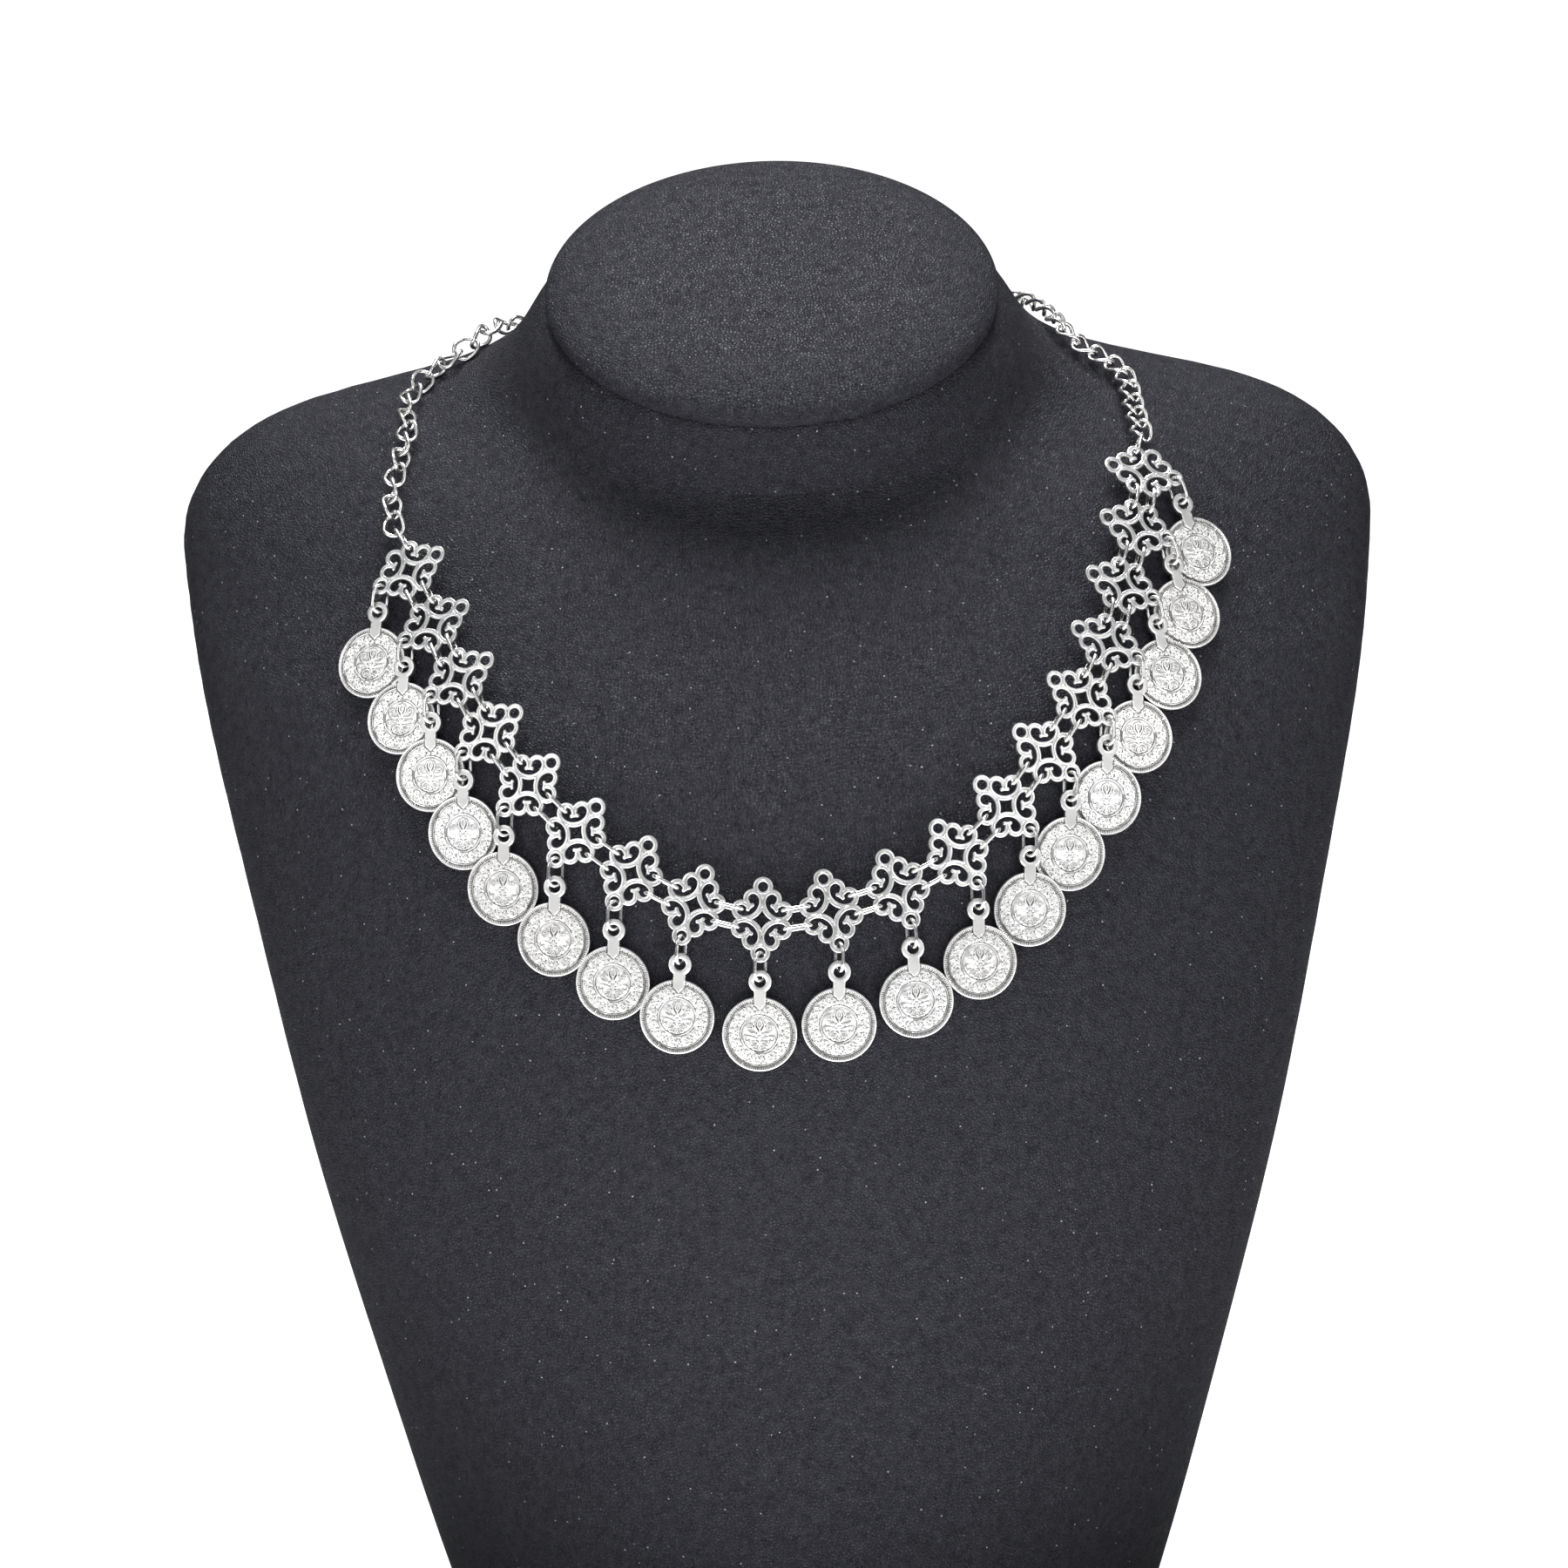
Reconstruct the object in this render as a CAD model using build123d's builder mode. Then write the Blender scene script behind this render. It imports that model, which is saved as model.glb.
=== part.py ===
from build123d import *
from math import asin, cos, degrees, radians, sin, sqrt
import os

os.makedirs("parts", exist_ok=True)

# Neck bust, in millimetres, standing on a flat base with its chest towards -Y
shoulder_width = 254.6
bust_depth = 126.0
neck_height = 281.7
cap_width = 94.6
cap_depth = 81.0
cap_thickness = 8.0
cap_tilt = 32.0
cap_seam = 0.3

# Openwork plates
plate_count = 19
plate_thickness = 0.7
plate_lift = 2.6
lobe_radius = 1.97
lobe_spread = 1.61
lobe_reach = 4.25
arch_width = 7.3
arch_rise = 3.15
window_width = 5.2
window_rise = 2.1
curl_radius = 0.96
stem_width = 1.2
stem_foot = 3.1
barb_radius = 0.39
barb_spread = 0.62
barb_reach = 3.4
eyelet_offset = 4.65
eyelet_hole = 1.0

# Coins
coin_diameter = 15.0
coin_thickness = 0.8
coin_seat = 0.2
hanger_height = 10.6
hanger_radius = 2.3
hanger_hole = 1.15
tongue_width = 2.45
tongue_tip = 4.75
tongue_relief = 0.12

# Jump rings, the chain and its clasp
wire = 0.8
ring_length = 6.4
ring_width = 4.1
ring_slack = 0.06
ring_roll = 12.0
drop_wire = 0.75
drop_length = 6.5
drop_width = 4.1
hang_offset = -0.1
hang_clearance = 0.65
chain_wire = 0.85
link_length = 6.5
link_width = 5.0
link_pitch = 4.2
link_lean = 45.0
drift_length = 45.0
chain_play = 0.45
clasp_radius = 3.6
clasp_wire = 1.6
clasp_eye = 2.0 * chain_wire

# Sections of the body: height, setback, half width, front, back, side radius and tilt.
# Heights are shares of neck_height, half widths of half the shoulder width, tilts of
# cap_tilt and the rest of bust_depth.
body_sections = (
    (0.000, 0.095, 0.561, 0.397, 0.381, 0.190, 0.00),
    (0.124, 0.095, 0.641, 0.397, 0.405, 0.198, 0.00),
    (0.248, 0.103, 0.713, 0.397, 0.421, 0.206, 0.00),
    (0.373, 0.127, 0.785, 0.405, 0.413, 0.206, 0.00),
    (0.497, 0.187, 0.850, 0.429, 0.373, 0.198, 0.00),
    (0.621, 0.286, 0.915, 0.460, 0.294, 0.183, 0.00),
    (0.721, 0.393, 0.967, 0.484, 0.214, 0.151, 0.00),
    (0.804, 0.524, 1.000, 0.492, 0.139, 0.119, 0.06),
    (0.865, 0.565, 0.971, 0.452, 0.123, 0.095, 0.22),
    (0.898, 0.566, 0.888, 0.425, 0.135, 0.087, 0.41),
)

# Sections of the neck: the same columns, with the half widths as shares of half the cap
# width, and the front, back and side radius as shares of half the cap depth.
neck_sections = (
    (0.919, 0.550, 1.958, 1.210, 0.481, 0.321, 0.56),
    (0.937, 0.508, 1.416, 1.099, 0.605, 0.444, 0.70),
    (0.957, 0.456, 1.197, 1.012, 0.741, 0.617, 0.84),
    (0.979, 0.425, 1.095, 0.963, 0.864, 0.741, 0.92),
    (1.000, 0.406, 0.987, 0.953, 0.953, 0.790, 1.00),
)

# Rounding of the padded cap: share of its thickness, share of its width and depth
cap_sections = (
    (0.00, 0.975),
    (0.17, 0.998),
    (0.34, 0.996),
    (0.52, 0.972),
    (0.72, 0.905),
    (0.88, 0.790),
    (1.00, 0.600),
)

# The necklace's way round the bust, as shares of half the shoulder width, of bust_depth
# and of neck_height, from the nape over the left shoulder, the chest and the right one.
route_points = (
    (0.000, 0.698, 0.933),
    (-0.243, 0.688, 0.945),
    (-0.411, 0.645, 0.958),
    (-0.488, 0.574, 0.956),
    (-0.546, 0.551, 0.944),
    (-0.599, 0.495, 0.923),
    (-0.608, 0.381, 0.894),
    (-0.617, 0.285, 0.858),
    (-0.592, 0.205, 0.820),
    (-0.506, 0.056, 0.752),
    (-0.391, -0.064, 0.684),
    (-0.229, -0.147, 0.628),
    (-0.040, -0.184, 0.601),
    (0.071, -0.178, 0.607),
    (0.256, -0.135, 0.638),
    (0.401, -0.048, 0.700),
    (0.510, 0.083, 0.767),
    (0.571, 0.224, 0.836),
    (0.590, 0.294, 0.867),
    (0.584, 0.416, 0.904),
    (0.549, 0.500, 0.933),
    (0.480, 0.515, 0.957),
    (0.426, 0.578, 0.966),
    (0.352, 0.649, 0.962),
    (0.178, 0.691, 0.947),
)
first_plate_point = 8

# How finely the route, the chain and a coin's rim are followed, and the step in which a
# chain's end link is moved up to the row
route_samples = 360
chain_samples = 600
rim_points = 16
chain_step = 0.05

# The inner point that the necklace is dropped towards, as shares of bust_depth and neck_height
core_setback = 0.42
core_height = 0.78

# How far each coin has swung from straight down and turned about its own hanger, degrees
coin_swing = (-5, -7, -7, -6, -6, -5, -4, -5, -2, -1, 3, 2, 1, 1, 2, 4, 8.5, 13, 25)
coin_turn = (4, 4, 5, 5, 4, 4, 4, 3, 0, 0, -3, -4, -4, -4, -4, -4, -4, -4, -4)

# How far each coin's ring has turned about its length from standing upright, degrees
drop_turn = (34, 34, 38, 34, 40, 40, 40, 24, 36, -22, -24, -30, -34, -34, -31, -30, -34, -34, -34)


def flank(across, depth, radius):
    """Radius of the broad arc that meets a side arc and stands depth from the middle."""
    return (across**2 + depth**2 - radius**2) / (2 * (depth - radius))


def meeting(across, depth, radius):
    """Point where that broad arc runs into the side arc, measured away from the middle."""
    broad = flank(across, depth, radius)
    drop = broad - depth
    reach = sqrt(across**2 + drop**2)
    return broad * across / reach, broad * drop / reach - drop


def body_section(height, setback, half_width, front, back, side, tilt):
    """Oval of four arcs that meet smoothly, broad at front and back."""
    up = (0, -sin(radians(tilt)), cos(radians(tilt)))
    plane = Plane((0, setback, height), x_dir=(1, 0, 0), z_dir=up)
    front_x, front_y = meeting(half_width - side, front, side)
    back_x, back_y = meeting(half_width - side, back, side)
    with BuildSketch(plane) as outline:
        with BuildLine():
            ThreePointArc((-front_x, -front_y), (0, -front), (front_x, -front_y))
            ThreePointArc((front_x, -front_y), (half_width, 0), (back_x, back_y))
            ThreePointArc((back_x, back_y), (0, back), (-back_x, back_y))
            ThreePointArc((-back_x, back_y), (-half_width, 0), (-front_x, -front_y))
        make_face()
    return outline.sketch


# Body of the bust
outlines = []
for height, setback, half_width, front, back, side, tilt in body_sections:
    outlines.append(
        body_section(
            height * neck_height,
            setback * bust_depth,
            half_width * shoulder_width / 2,
            front * bust_depth,
            back * bust_depth,
            side * bust_depth,
            tilt * cap_tilt,
        )
    )
for height, setback, half_width, front, back, side, tilt in neck_sections:
    outlines.append(
        body_section(
            height * neck_height,
            setback * bust_depth,
            half_width * cap_width / 2,
            front * cap_depth / 2,
            back * cap_depth / 2,
            side * cap_depth / 2,
            tilt * cap_tilt,
        )
    )
with BuildPart() as bust_body:
    loft(outlines)
bust_body.part.label = "bust_body"
export_step(bust_body.part, "parts/bust_body.step")

# Padded cap on the neck
neck_top = Plane(
    (0, neck_sections[-1][1] * bust_depth, neck_height),
    x_dir=(1, 0, 0),
    z_dir=(0, -sin(radians(cap_tilt)), cos(radians(cap_tilt))),
)
with BuildPart() as neck_cap:
    for rise, share in cap_sections:
        with BuildSketch(neck_top.offset(cap_seam + rise * cap_thickness)):
            Ellipse(share * cap_width / 2, share * cap_depth / 2)
    loft()
neck_cap.part.label = "neck_cap"
export_step(neck_cap.part, "parts/neck_cap.step")

# Every point of the necklace is dropped on the body along a line from this inner point
core = Vector(0, core_setback * bust_depth, core_height * neck_height)


def on_body(point):
    """Point of the body beneath or above the given one, and the outward normal there."""
    return bust_body.part.find_intersection_points(Axis(core, Vector(point) - core))[-1]


with BuildLine() as route:
    Spline(
        *[(x * shoulder_width / 2, y * bust_depth, z * neck_height) for x, y, z in route_points],
        periodic=True,
    )
route_edge = route.edges()[0]
track = []
for step in range(route_samples + 1):
    skin, normal = on_body(route_edge @ (step / route_samples))
    centre = skin + normal * plate_lift
    gone = track[-1][0] + (centre - track[-1][1]).length if track else 0.0
    track.append((gone, centre, normal))
track_length = track[-1][0]


def along(distance, side=0.0):
    """Plane on the necklace's line: X along it, Y towards the neck, Z away from the body."""
    distance = distance % track_length
    index = next(i for i, stop in enumerate(track) if stop[0] > distance)
    before, after = track[index - 1], track[index]
    share = (distance - before[0]) / (after[0] - before[0])
    origin = before[1] + (after[1] - before[1]) * share
    normal = before[2] + (after[2] - before[2]) * share
    ahead = after[1] - before[1]
    upright = normal - ahead * (normal.dot(ahead) / ahead.dot(ahead))
    plane = Plane(origin, x_dir=ahead, z_dir=upright)
    return plane.move(Location(plane.y_dir * side)) if side else plane


# One window of an openwork plate: an arch with a curl at each end, round a stem with barbs
with BuildSketch() as window:
    with Locations((0, lobe_reach)):
        Ellipse(window_width / 2, window_rise)
        Rectangle(window_width, window_rise, align=(Align.CENTER, Align.MIN), mode=Mode.SUBTRACT)
    with Locations((-lobe_spread, lobe_reach), (lobe_spread, lobe_reach)):
        Circle(curl_radius)
    with Locations((0, stem_foot)):
        Rectangle(stem_width, lobe_reach, align=(Align.CENTER, Align.MIN), mode=Mode.SUBTRACT)
    with Locations((-barb_spread, barb_reach), (barb_spread, barb_reach)):
        Circle(barb_radius, mode=Mode.SUBTRACT)

# Blank of an openwork plate: four arched sides with two lobes each, and two corner eyelets
with BuildPart() as plate_blank:
    with BuildSketch(Plane.XY.offset(-plate_thickness / 2)):
        with PolarLocations(0, 4):
            with Locations((0, lobe_reach)):
                Ellipse(arch_width / 2, arch_rise)
                Rectangle(arch_width, arch_rise, align=(Align.CENTER, Align.MIN), mode=Mode.SUBTRACT)
        with PolarLocations(0, 4):
            with Locations((-lobe_spread, lobe_reach), (lobe_spread, lobe_reach)):
                Circle(lobe_radius)
        with Locations((-eyelet_offset, eyelet_offset), (eyelet_offset, -eyelet_offset)):
            Circle(lobe_radius)
        with Locations((-eyelet_offset, eyelet_offset), (eyelet_offset, -eyelet_offset)):
            Circle(eyelet_hole, mode=Mode.SUBTRACT)
        with PolarLocations(0, 4):
            add(window.sketch, mode=Mode.SUBTRACT)
    extrude(amount=plate_thickness)

# Blank of a coin with its hanger and the pointed tongue that laps onto its face
with BuildPart() as coin_blank:
    with BuildSketch(Plane.XY.offset(-coin_thickness / 2)):
        Circle(coin_diameter / 2)
        with Locations((0, hanger_height)):
            Circle(hanger_radius)
        with Locations((0, tongue_tip)):
            Rectangle(tongue_width, hanger_height - tongue_tip, align=(Align.CENTER, Align.MIN))
    extrude(amount=coin_thickness)
    with BuildSketch(Plane.XY.offset(coin_thickness / 2)):
        with Locations((0, hanger_height)):
            Circle(hanger_radius)
        with BuildLine():
            Polyline(
                (0, tongue_tip),
                (tongue_width / 2, tongue_tip + tongue_width / 2),
                (tongue_width / 2, hanger_height),
                (-tongue_width / 2, hanger_height),
                (-tongue_width / 2, tongue_tip + tongue_width / 2),
                close=True,
            )
        make_face()
    extrude(amount=tongue_relief)
    with Locations((0, hanger_height, 0)):
        Hole(hanger_hole)


def ring_blank(length, width, thickness):
    """Oval ring of round wire lying in XY, with its long way along X."""
    bend = (width - thickness) / 2
    straight = length - width
    with BuildPart() as blank:
        with BuildLine():
            Line((-straight / 2, -bend), (straight / 2, -bend))
            ThreePointArc((straight / 2, -bend), (straight / 2 + bend, 0), (straight / 2, bend))
            Line((straight / 2, bend), (-straight / 2, bend))
            ThreePointArc((-straight / 2, bend), (-straight / 2 - bend, 0), (-straight / 2, -bend))
        with BuildSketch(Plane((0, -bend, 0), x_dir=(0, 1, 0), z_dir=(1, 0, 0))):
            Circle(thickness / 2)
        sweep()
    return blank.part


side_ring = ring_blank(ring_length, ring_width, wire)
drop_ring = ring_blank(drop_length, drop_width, drop_wire)
chain_link = ring_blank(link_length, link_width, chain_wire)


def standing(start, finish, normal, lean):
    """Plane of a ring that runs from start to finish, leaning by lean from upright."""
    ahead = (finish - start).normalized()
    sideways = normal.cross(ahead).normalized()
    upright = ahead.cross(sideways)
    across = upright * cos(radians(lean)) + sideways * sin(radians(lean))
    return Plane((start + finish) / 2, x_dir=ahead, z_dir=ahead.cross(across))


# Plates, a pitch apart along the route
plate_pitch = 2 * (lobe_reach + lobe_spread) / sqrt(2) + (ring_length - wire) + 2 * ring_slack
first_x, first_y, first_z = route_points[first_plate_point]
first_plate = Vector(first_x * shoulder_width / 2, first_y * bust_depth, first_z * neck_height)
row_start = min(track, key=lambda stop: (stop[1] - first_plate).length)[0]
plate_planes = [along(row_start + index * plate_pitch) for index in range(plate_count)]
for number, plane in enumerate(plate_planes, start=1):
    with BuildPart() as plate:
        with Locations(plane.location * Location((0, 0, 0), (0, 0, -45))):
            add(plate_blank.part)
    plate.part.label = f"plate_{number:02d}"
    export_step(plate.part, f"parts/plate_{number:02d}.step")

# Where the side rings pass through a plate, from its middle
hook_x = (lobe_reach + lobe_spread) / sqrt(2)
hook_y = (lobe_reach - lobe_spread) / sqrt(2)


def place_rings(blank, planes):
    """The same ring standing in each of the planes."""
    return [plane.location * solid for plane in planes for solid in blank.solids()]


def export_group(name, solids):
    """Write several closed solids as one node."""
    export_step(Compound(label=name, children=solids), f"parts/{name}.step")


# Pairs of rings that join each plate to the next. Where the row runs level their front wires
# lean up, and where it is steep they lean down.
side_planes = []
for here, there in zip(plate_planes, plate_planes[1:]):
    for side in (hook_y, -hook_y):
        start = here.from_local_coords((hook_x, side, 0))
        finish = there.from_local_coords((-hook_x, side, 0))
        level = abs((finish - start).normalized().X)
        roll = ring_roll * (2 * level - 1)
        side_planes.append(standing(start, finish, here.z_dir + there.z_dir, roll))
half = len(side_planes) // 2
export_group("side_rings_left", place_rings(side_ring, side_planes[:half]))
export_group("side_rings_right", place_rings(side_ring, side_planes[half:]))

# Coins, each hung from the lower eyelet of its plate and resting on the chest
eyelet_drop = eyelet_offset * sqrt(2)
drop_run = drop_length - drop_wire
fall = hang_offset + drop_run + hanger_height + hanger_hole - drop_wire / 2 - hang_clearance


def resting_coin(top, down, turn):
    """Plane of a coin hung at top, with the lowest point of its rim just off the body."""
    lift = plate_lift / 2
    for _ in range(4):
        skin, normal = on_body(top + down * (fall - hang_offset))
        up = (top - (skin + normal * lift)).normalized()
        outward = (normal - up * normal.dot(up)).rotate(Axis((0, 0, 0), up), turn)
        plane = Plane(top - up * (fall - hang_offset), x_dir=up.cross(outward), z_dir=outward)
        with PolarLocations(coin_diameter / 2, rim_points) as rim:
            rim_locations = rim.locations
        lowest = plate_lift
        for place in rim_locations:
            point = (plane.location * place * Location((0, 0, -coin_thickness / 2))).position
            skin, normal = on_body(point)
            lowest = min(lowest, (point - skin).dot(normal))
        lift += coin_seat - lowest
    return plane


coin_planes = []
drop_planes = []
for number, plane in enumerate(plate_planes, start=1):
    eyelet = plane.from_local_coords((0, -eyelet_drop, 0))
    skin, normal = on_body(eyelet)
    down = Vector(0, 0, -1)
    down = (down - normal * down.dot(normal)).normalized()
    down = down.rotate(Axis((0, 0, 0), normal), coin_swing[number - 1])
    top = eyelet + down * hang_offset
    coin_plane = resting_coin(top, down, coin_turn[number - 1])
    coin_planes.append(coin_plane)
    with BuildPart() as coin:
        with Locations(coin_plane.location):
            add(coin_blank.part)
    coin.part.label = f"coin_{number:02d}"
    export_step(coin.part, f"parts/coin_{number:02d}.step")
    foot = top - coin_plane.y_dir * drop_run
    drop_planes.append(standing(foot, top, plane.z_dir + coin_plane.z_dir, drop_turn[number - 1]))
export_group("coin_rings", place_rings(drop_ring, drop_planes))

# Clasp at the nape: a plain round catch with a small eye
nape = along(track_length)
eye_offset = clasp_radius + clasp_wire / 2 + clasp_eye
with BuildPart() as clasp:
    with Locations(nape.location):
        Torus(clasp_radius, clasp_wire / 2)
    with Locations(nape.location * Location((eye_offset, 0, 0), (90, 0, 0))):
        Torus(clasp_eye, chain_wire / 2)
clasp.part.label = "clasp"
export_step(clasp.part, "parts/clasp.step")

# Chain from the last plate round to the clasp, and from the clasp to the first plate
link_run = link_length - chain_wire
ring_run = ring_length - wire
hold = chain_wire / 2 + wire / 2 + chain_play
catch = clasp_radius - clasp_wire / 2 - chain_wire / 2 - chain_play
eye = eye_offset + clasp_eye - chain_wire - chain_play
last_hook = plate_planes[-1].from_local_coords((hook_x, hook_y, 0))
first_hook = plate_planes[0].from_local_coords((-hook_x, hook_y, 0))


def first_link(hook, distance, step):
    """Distance along the line of the link that the ring in a plate's upper curl holds."""
    reach = ring_slack + ring_run - hold + link_run / 2
    while (along(distance, hook_y).origin - hook).length < reach:
        distance += step
    return distance


def chain_planes(start, end, row_first):
    """Links crossed in turn; next to the row they lie flat and in line with its curls."""
    stops = []
    for step in range(chain_samples + 1):
        share = step / chain_samples
        near = max(0, 1 - (end - start) * (share if row_first else 1 - share) / drift_length)
        here = along(start + (end - start) * share, near * hook_y)
        gone = stops[-1][0] + (here.origin - stops[-1][1].origin).length if stops else 0.0
        stops.append((gone, here, near))
    count = round(stops[-1][0] / link_pitch) + 1
    planes = []
    for index in range(count):
        target = stops[-1][0] * index / (count - 1)
        _, here, near = min(stops, key=lambda stop: abs(stop[0] - target))
        steps = index if row_first else count - 1 - index
        lean = link_lean * (near - 1 if steps % 2 else near + 1)
        planes.append(standing(here.origin - here.x_dir, here.origin + here.x_dir, here.z_dir, lean))
    return planes


def end_ring_plane(hook, link, normal):
    """Plane of the ring from a plate's upper curl to the chain's end link."""
    reach = (link.origin - hook).normalized()
    return standing(hook + reach * ring_slack, hook + reach * (ring_slack + ring_run), normal, 0)


right_start = first_link(last_hook, row_start + (plate_count - 1) * plate_pitch + hook_x, chain_step)
left_end = first_link(first_hook, row_start - hook_x, -chain_step)
right_links = chain_planes(right_start, track_length - catch - link_run / 2, True)
left_links = chain_planes(eye + link_run / 2, left_end, False)
end_rings = [
    end_ring_plane(first_hook, left_links[-1], plate_planes[0].z_dir),
    end_ring_plane(last_hook, right_links[0], plate_planes[-1].z_dir),
]
export_group("chain_right", place_rings(chain_link, right_links))
export_group("chain_left", place_rings(chain_link, left_links))
export_group("chain_end_rings", place_rings(side_ring, end_rings))
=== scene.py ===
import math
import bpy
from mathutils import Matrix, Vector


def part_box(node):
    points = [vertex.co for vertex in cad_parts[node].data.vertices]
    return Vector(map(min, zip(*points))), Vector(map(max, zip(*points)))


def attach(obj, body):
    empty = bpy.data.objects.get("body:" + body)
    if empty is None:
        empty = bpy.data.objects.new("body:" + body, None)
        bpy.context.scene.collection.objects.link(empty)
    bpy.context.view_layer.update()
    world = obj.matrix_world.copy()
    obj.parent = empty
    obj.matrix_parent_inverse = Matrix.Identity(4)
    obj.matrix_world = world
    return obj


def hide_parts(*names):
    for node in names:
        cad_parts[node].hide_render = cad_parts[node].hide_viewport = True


bl_info = {
    "name": "Coin Necklace on Neck Bust",
    "version": (1, 0, 0),
    "blender": (4, 5, 0),
    "location": "View3D > Sidebar > Necklace",
    "description": "Finishes a coin necklace and its neck bust in silver and leatherette",
    "category": "Object",
}

import bmesh
import bpy
import numpy as np
from bpy.props import FloatProperty, FloatVectorProperty, IntProperty, PointerProperty
from mathutils import Matrix, Vector
from mathutils.bvhtree import BVHTree
from mathutils.geometry import delaunay_2d_cdt

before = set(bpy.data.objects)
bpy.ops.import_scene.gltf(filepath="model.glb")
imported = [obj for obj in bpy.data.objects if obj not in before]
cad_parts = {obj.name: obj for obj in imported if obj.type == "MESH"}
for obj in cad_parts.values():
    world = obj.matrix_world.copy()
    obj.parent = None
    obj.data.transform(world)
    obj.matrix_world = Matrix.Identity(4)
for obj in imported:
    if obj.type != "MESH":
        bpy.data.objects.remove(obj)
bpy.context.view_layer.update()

MM = 0.001
BODY = "root"
PLATES = sorted(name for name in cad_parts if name.startswith("plate_"))
COINS = sorted(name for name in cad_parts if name.startswith("coin_") and name != "coin_rings")
RINGS = ["side_rings_left", "side_rings_right", "coin_rings", "chain_end_rings"]
CHAINS = ["chain_left", "chain_right"]

# A face counts as level with its solid's front above this cosine, and with an outline's level
# within this many millimetres.
FACING = 0.996
LEVEL_CLOSE = 0.004

# Painted shade at the back of a plate or coin, which also darkens its walls
BACK_SHADE = 0.85

# The coin's pattern. The notched ring's edges and the band of scrolls are shares of the radius, the
# phases are shares of one notch, and each raised circle is a share of the radius and a width in
# millimetres.
TOOTH_BAND = (0.868, 0.876, 0.949, 0.957)
TOOTH_PHASES = (-0.26, -0.12, 0.12, 0.26)
SCROLL_BAND = (0.545, 0.825)
CIRCLES = ((0.497, 0.30), (0.852, 0.13))

# Spacing of the coin's points on its outline, round its tongue, on the tongue and at the closest, in
# millimetres
COIN_OUTLINE_STEP = 0.24
TONGUE_OUTLINE_STEP = 0.2
TONGUE_STEP = 0.35
COIN_CLOSEST = 0.085

# The bust's foot and top are this much smaller than the rows next to them. The rows keep clear of
# both ends by a share of the height, and lean towards the cap's tilt from a share of it. A point this
# close to the top or the foot lies on it.
BUST_EDGE = 1.4 * MM
BUST_END_GAP, BUST_SPAN = 0.004, 0.992
LEAN_FROM, LEAN_SPAN = 0.45, 0.55
END_CLOSE = 0.05 * MM

# The cap's columns, its rows above the rim, its underside and edge as shares of its half width, and
# the steps round its edge
CAP_STEPS = 96
CAP_ROWS = 22
CAP_UNDERSIDE = (0.35, 0.7, 0.9, 0.965)
CAP_EDGE, CAP_BULGE, CAP_EDGE_STEPS = 0.975, 0.025, 6

# Dust: cells for each metre, and the size of a speck on the body and on the cap as a share of a cell
DUST_SCALE = 430.0
BODY_DUST, CAP_DUST = 0.075, 0.06

# Stage, in metres apart from the camera's target in millimetres. The surround is lightest that way,
# and a light's size is the length of its side.
TARGET = (-0.7, 10.0, 188.0)
LIGHT_WAY = (0.0, -0.35, 0.94)
TOP_PLACE, TOP_SIZE = (0.0, 0.25, 1.35), 0.6
KEY_PLACE, KEY_SIZE = (0.96, -0.96, 0.82), 1.0
CARD_PLACE, CARD_SIZE = (0.0, -0.78, 0.01), 1.4
FLOOR_REACH, FLOOR_DROP = 8.0, 0.2 * MM


# Settings that a user would change

def millimetres(name, description, default):
    """A length property, given in millimetres."""
    return FloatProperty(name=name, description=description, default=default * MM, unit="LENGTH",
                         precision=5)


def colour(name, description, default):
    """A colour property."""
    return FloatVectorProperty(name=name, description=description, default=default, subtype="COLOR",
                               min=0.0, max=1.0)


def share(name, description, default):
    """A property from nought to one."""
    return FloatProperty(name=name, description=description, default=default, subtype="FACTOR",
                         min=0.0, max=1.0)


def angle(name, description, degrees):
    """An angle property, given in degrees."""
    return FloatProperty(name=name, description=description, default=math.radians(degrees),
                         subtype="ANGLE")


def count(name, description, default):
    """A whole number property."""
    return IntProperty(name=name, description=description, default=default, min=1)


def strength(name, description, default):
    """A property for the strength of a light that has no lamp."""
    return FloatProperty(name=name, description=description, default=default)


def power(name, description, default):
    """A lamp's power, in watts."""
    return FloatProperty(name=name, description=description, default=default, unit="POWER")


class LeatherSettings(bpy.types.PropertyGroup):
    tone: colour("Leather", "Colour of the leatherette", (0.015, 0.015, 0.019))
    # Colour of the painted shade in the creases of the grain
    crease_shade_tone: colour("Creases", "Colour in the creases of the grain", (0.003, 0.003, 0.0045))
    dust_tone: colour("Dust", "Colour of the dust specks", (0.34, 0.34, 0.36))
    sheen_tone: colour("Sheen", "Tint of the light that the leatherette reflects", (0.86, 0.87, 1.0))
    roughness: share("Roughness", "Roughness of the leatherette", 0.54)
    grain: millimetres("Grain", "Width of one grain of the leatherette", 0.62)
    grain_depth: millimetres("Grain depth", "Height of one grain", 0.16)
    gloss: share("Gloss", "Specular level of the leatherette", 0.39)
    mottle: share("Mottle", "Variation of the gloss from grain to grain", 0.27)
    around: count("Steps round", "Columns of the bust's surface", 112)
    upward: count("Steps up", "Rows of the bust's surface", 72)
    cap_puff: millimetres("Cap padding", "How far the cap's top swells", 0.5)
    rim_rise: share("Cap rim", "Height of the cap's edge as a share of its thickness", 0.2)


class SilverSettings(bpy.types.PropertyGroup):
    bright: colour("Silver", "Colour of the polished metal", (0.93, 0.93, 0.925))
    # The tarnish colour is also the colour of the painted shade on edges, backs and beside raised lines
    tarnish: colour("Tarnish", "Colour of the metal in the recesses", (0.10, 0.098, 0.094))
    warm: colour("Warm silver", "Colour of the thinner plating", (0.90, 0.86, 0.83))
    plate_roughness: share("Plate roughness", "Roughness of the cut plates", 0.30)
    coin_roughness: share("Coin roughness", "Roughness of the struck coins", 0.32)
    ring_roughness: share("Ring roughness", "Roughness of the drawn wire", 0.16)


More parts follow.
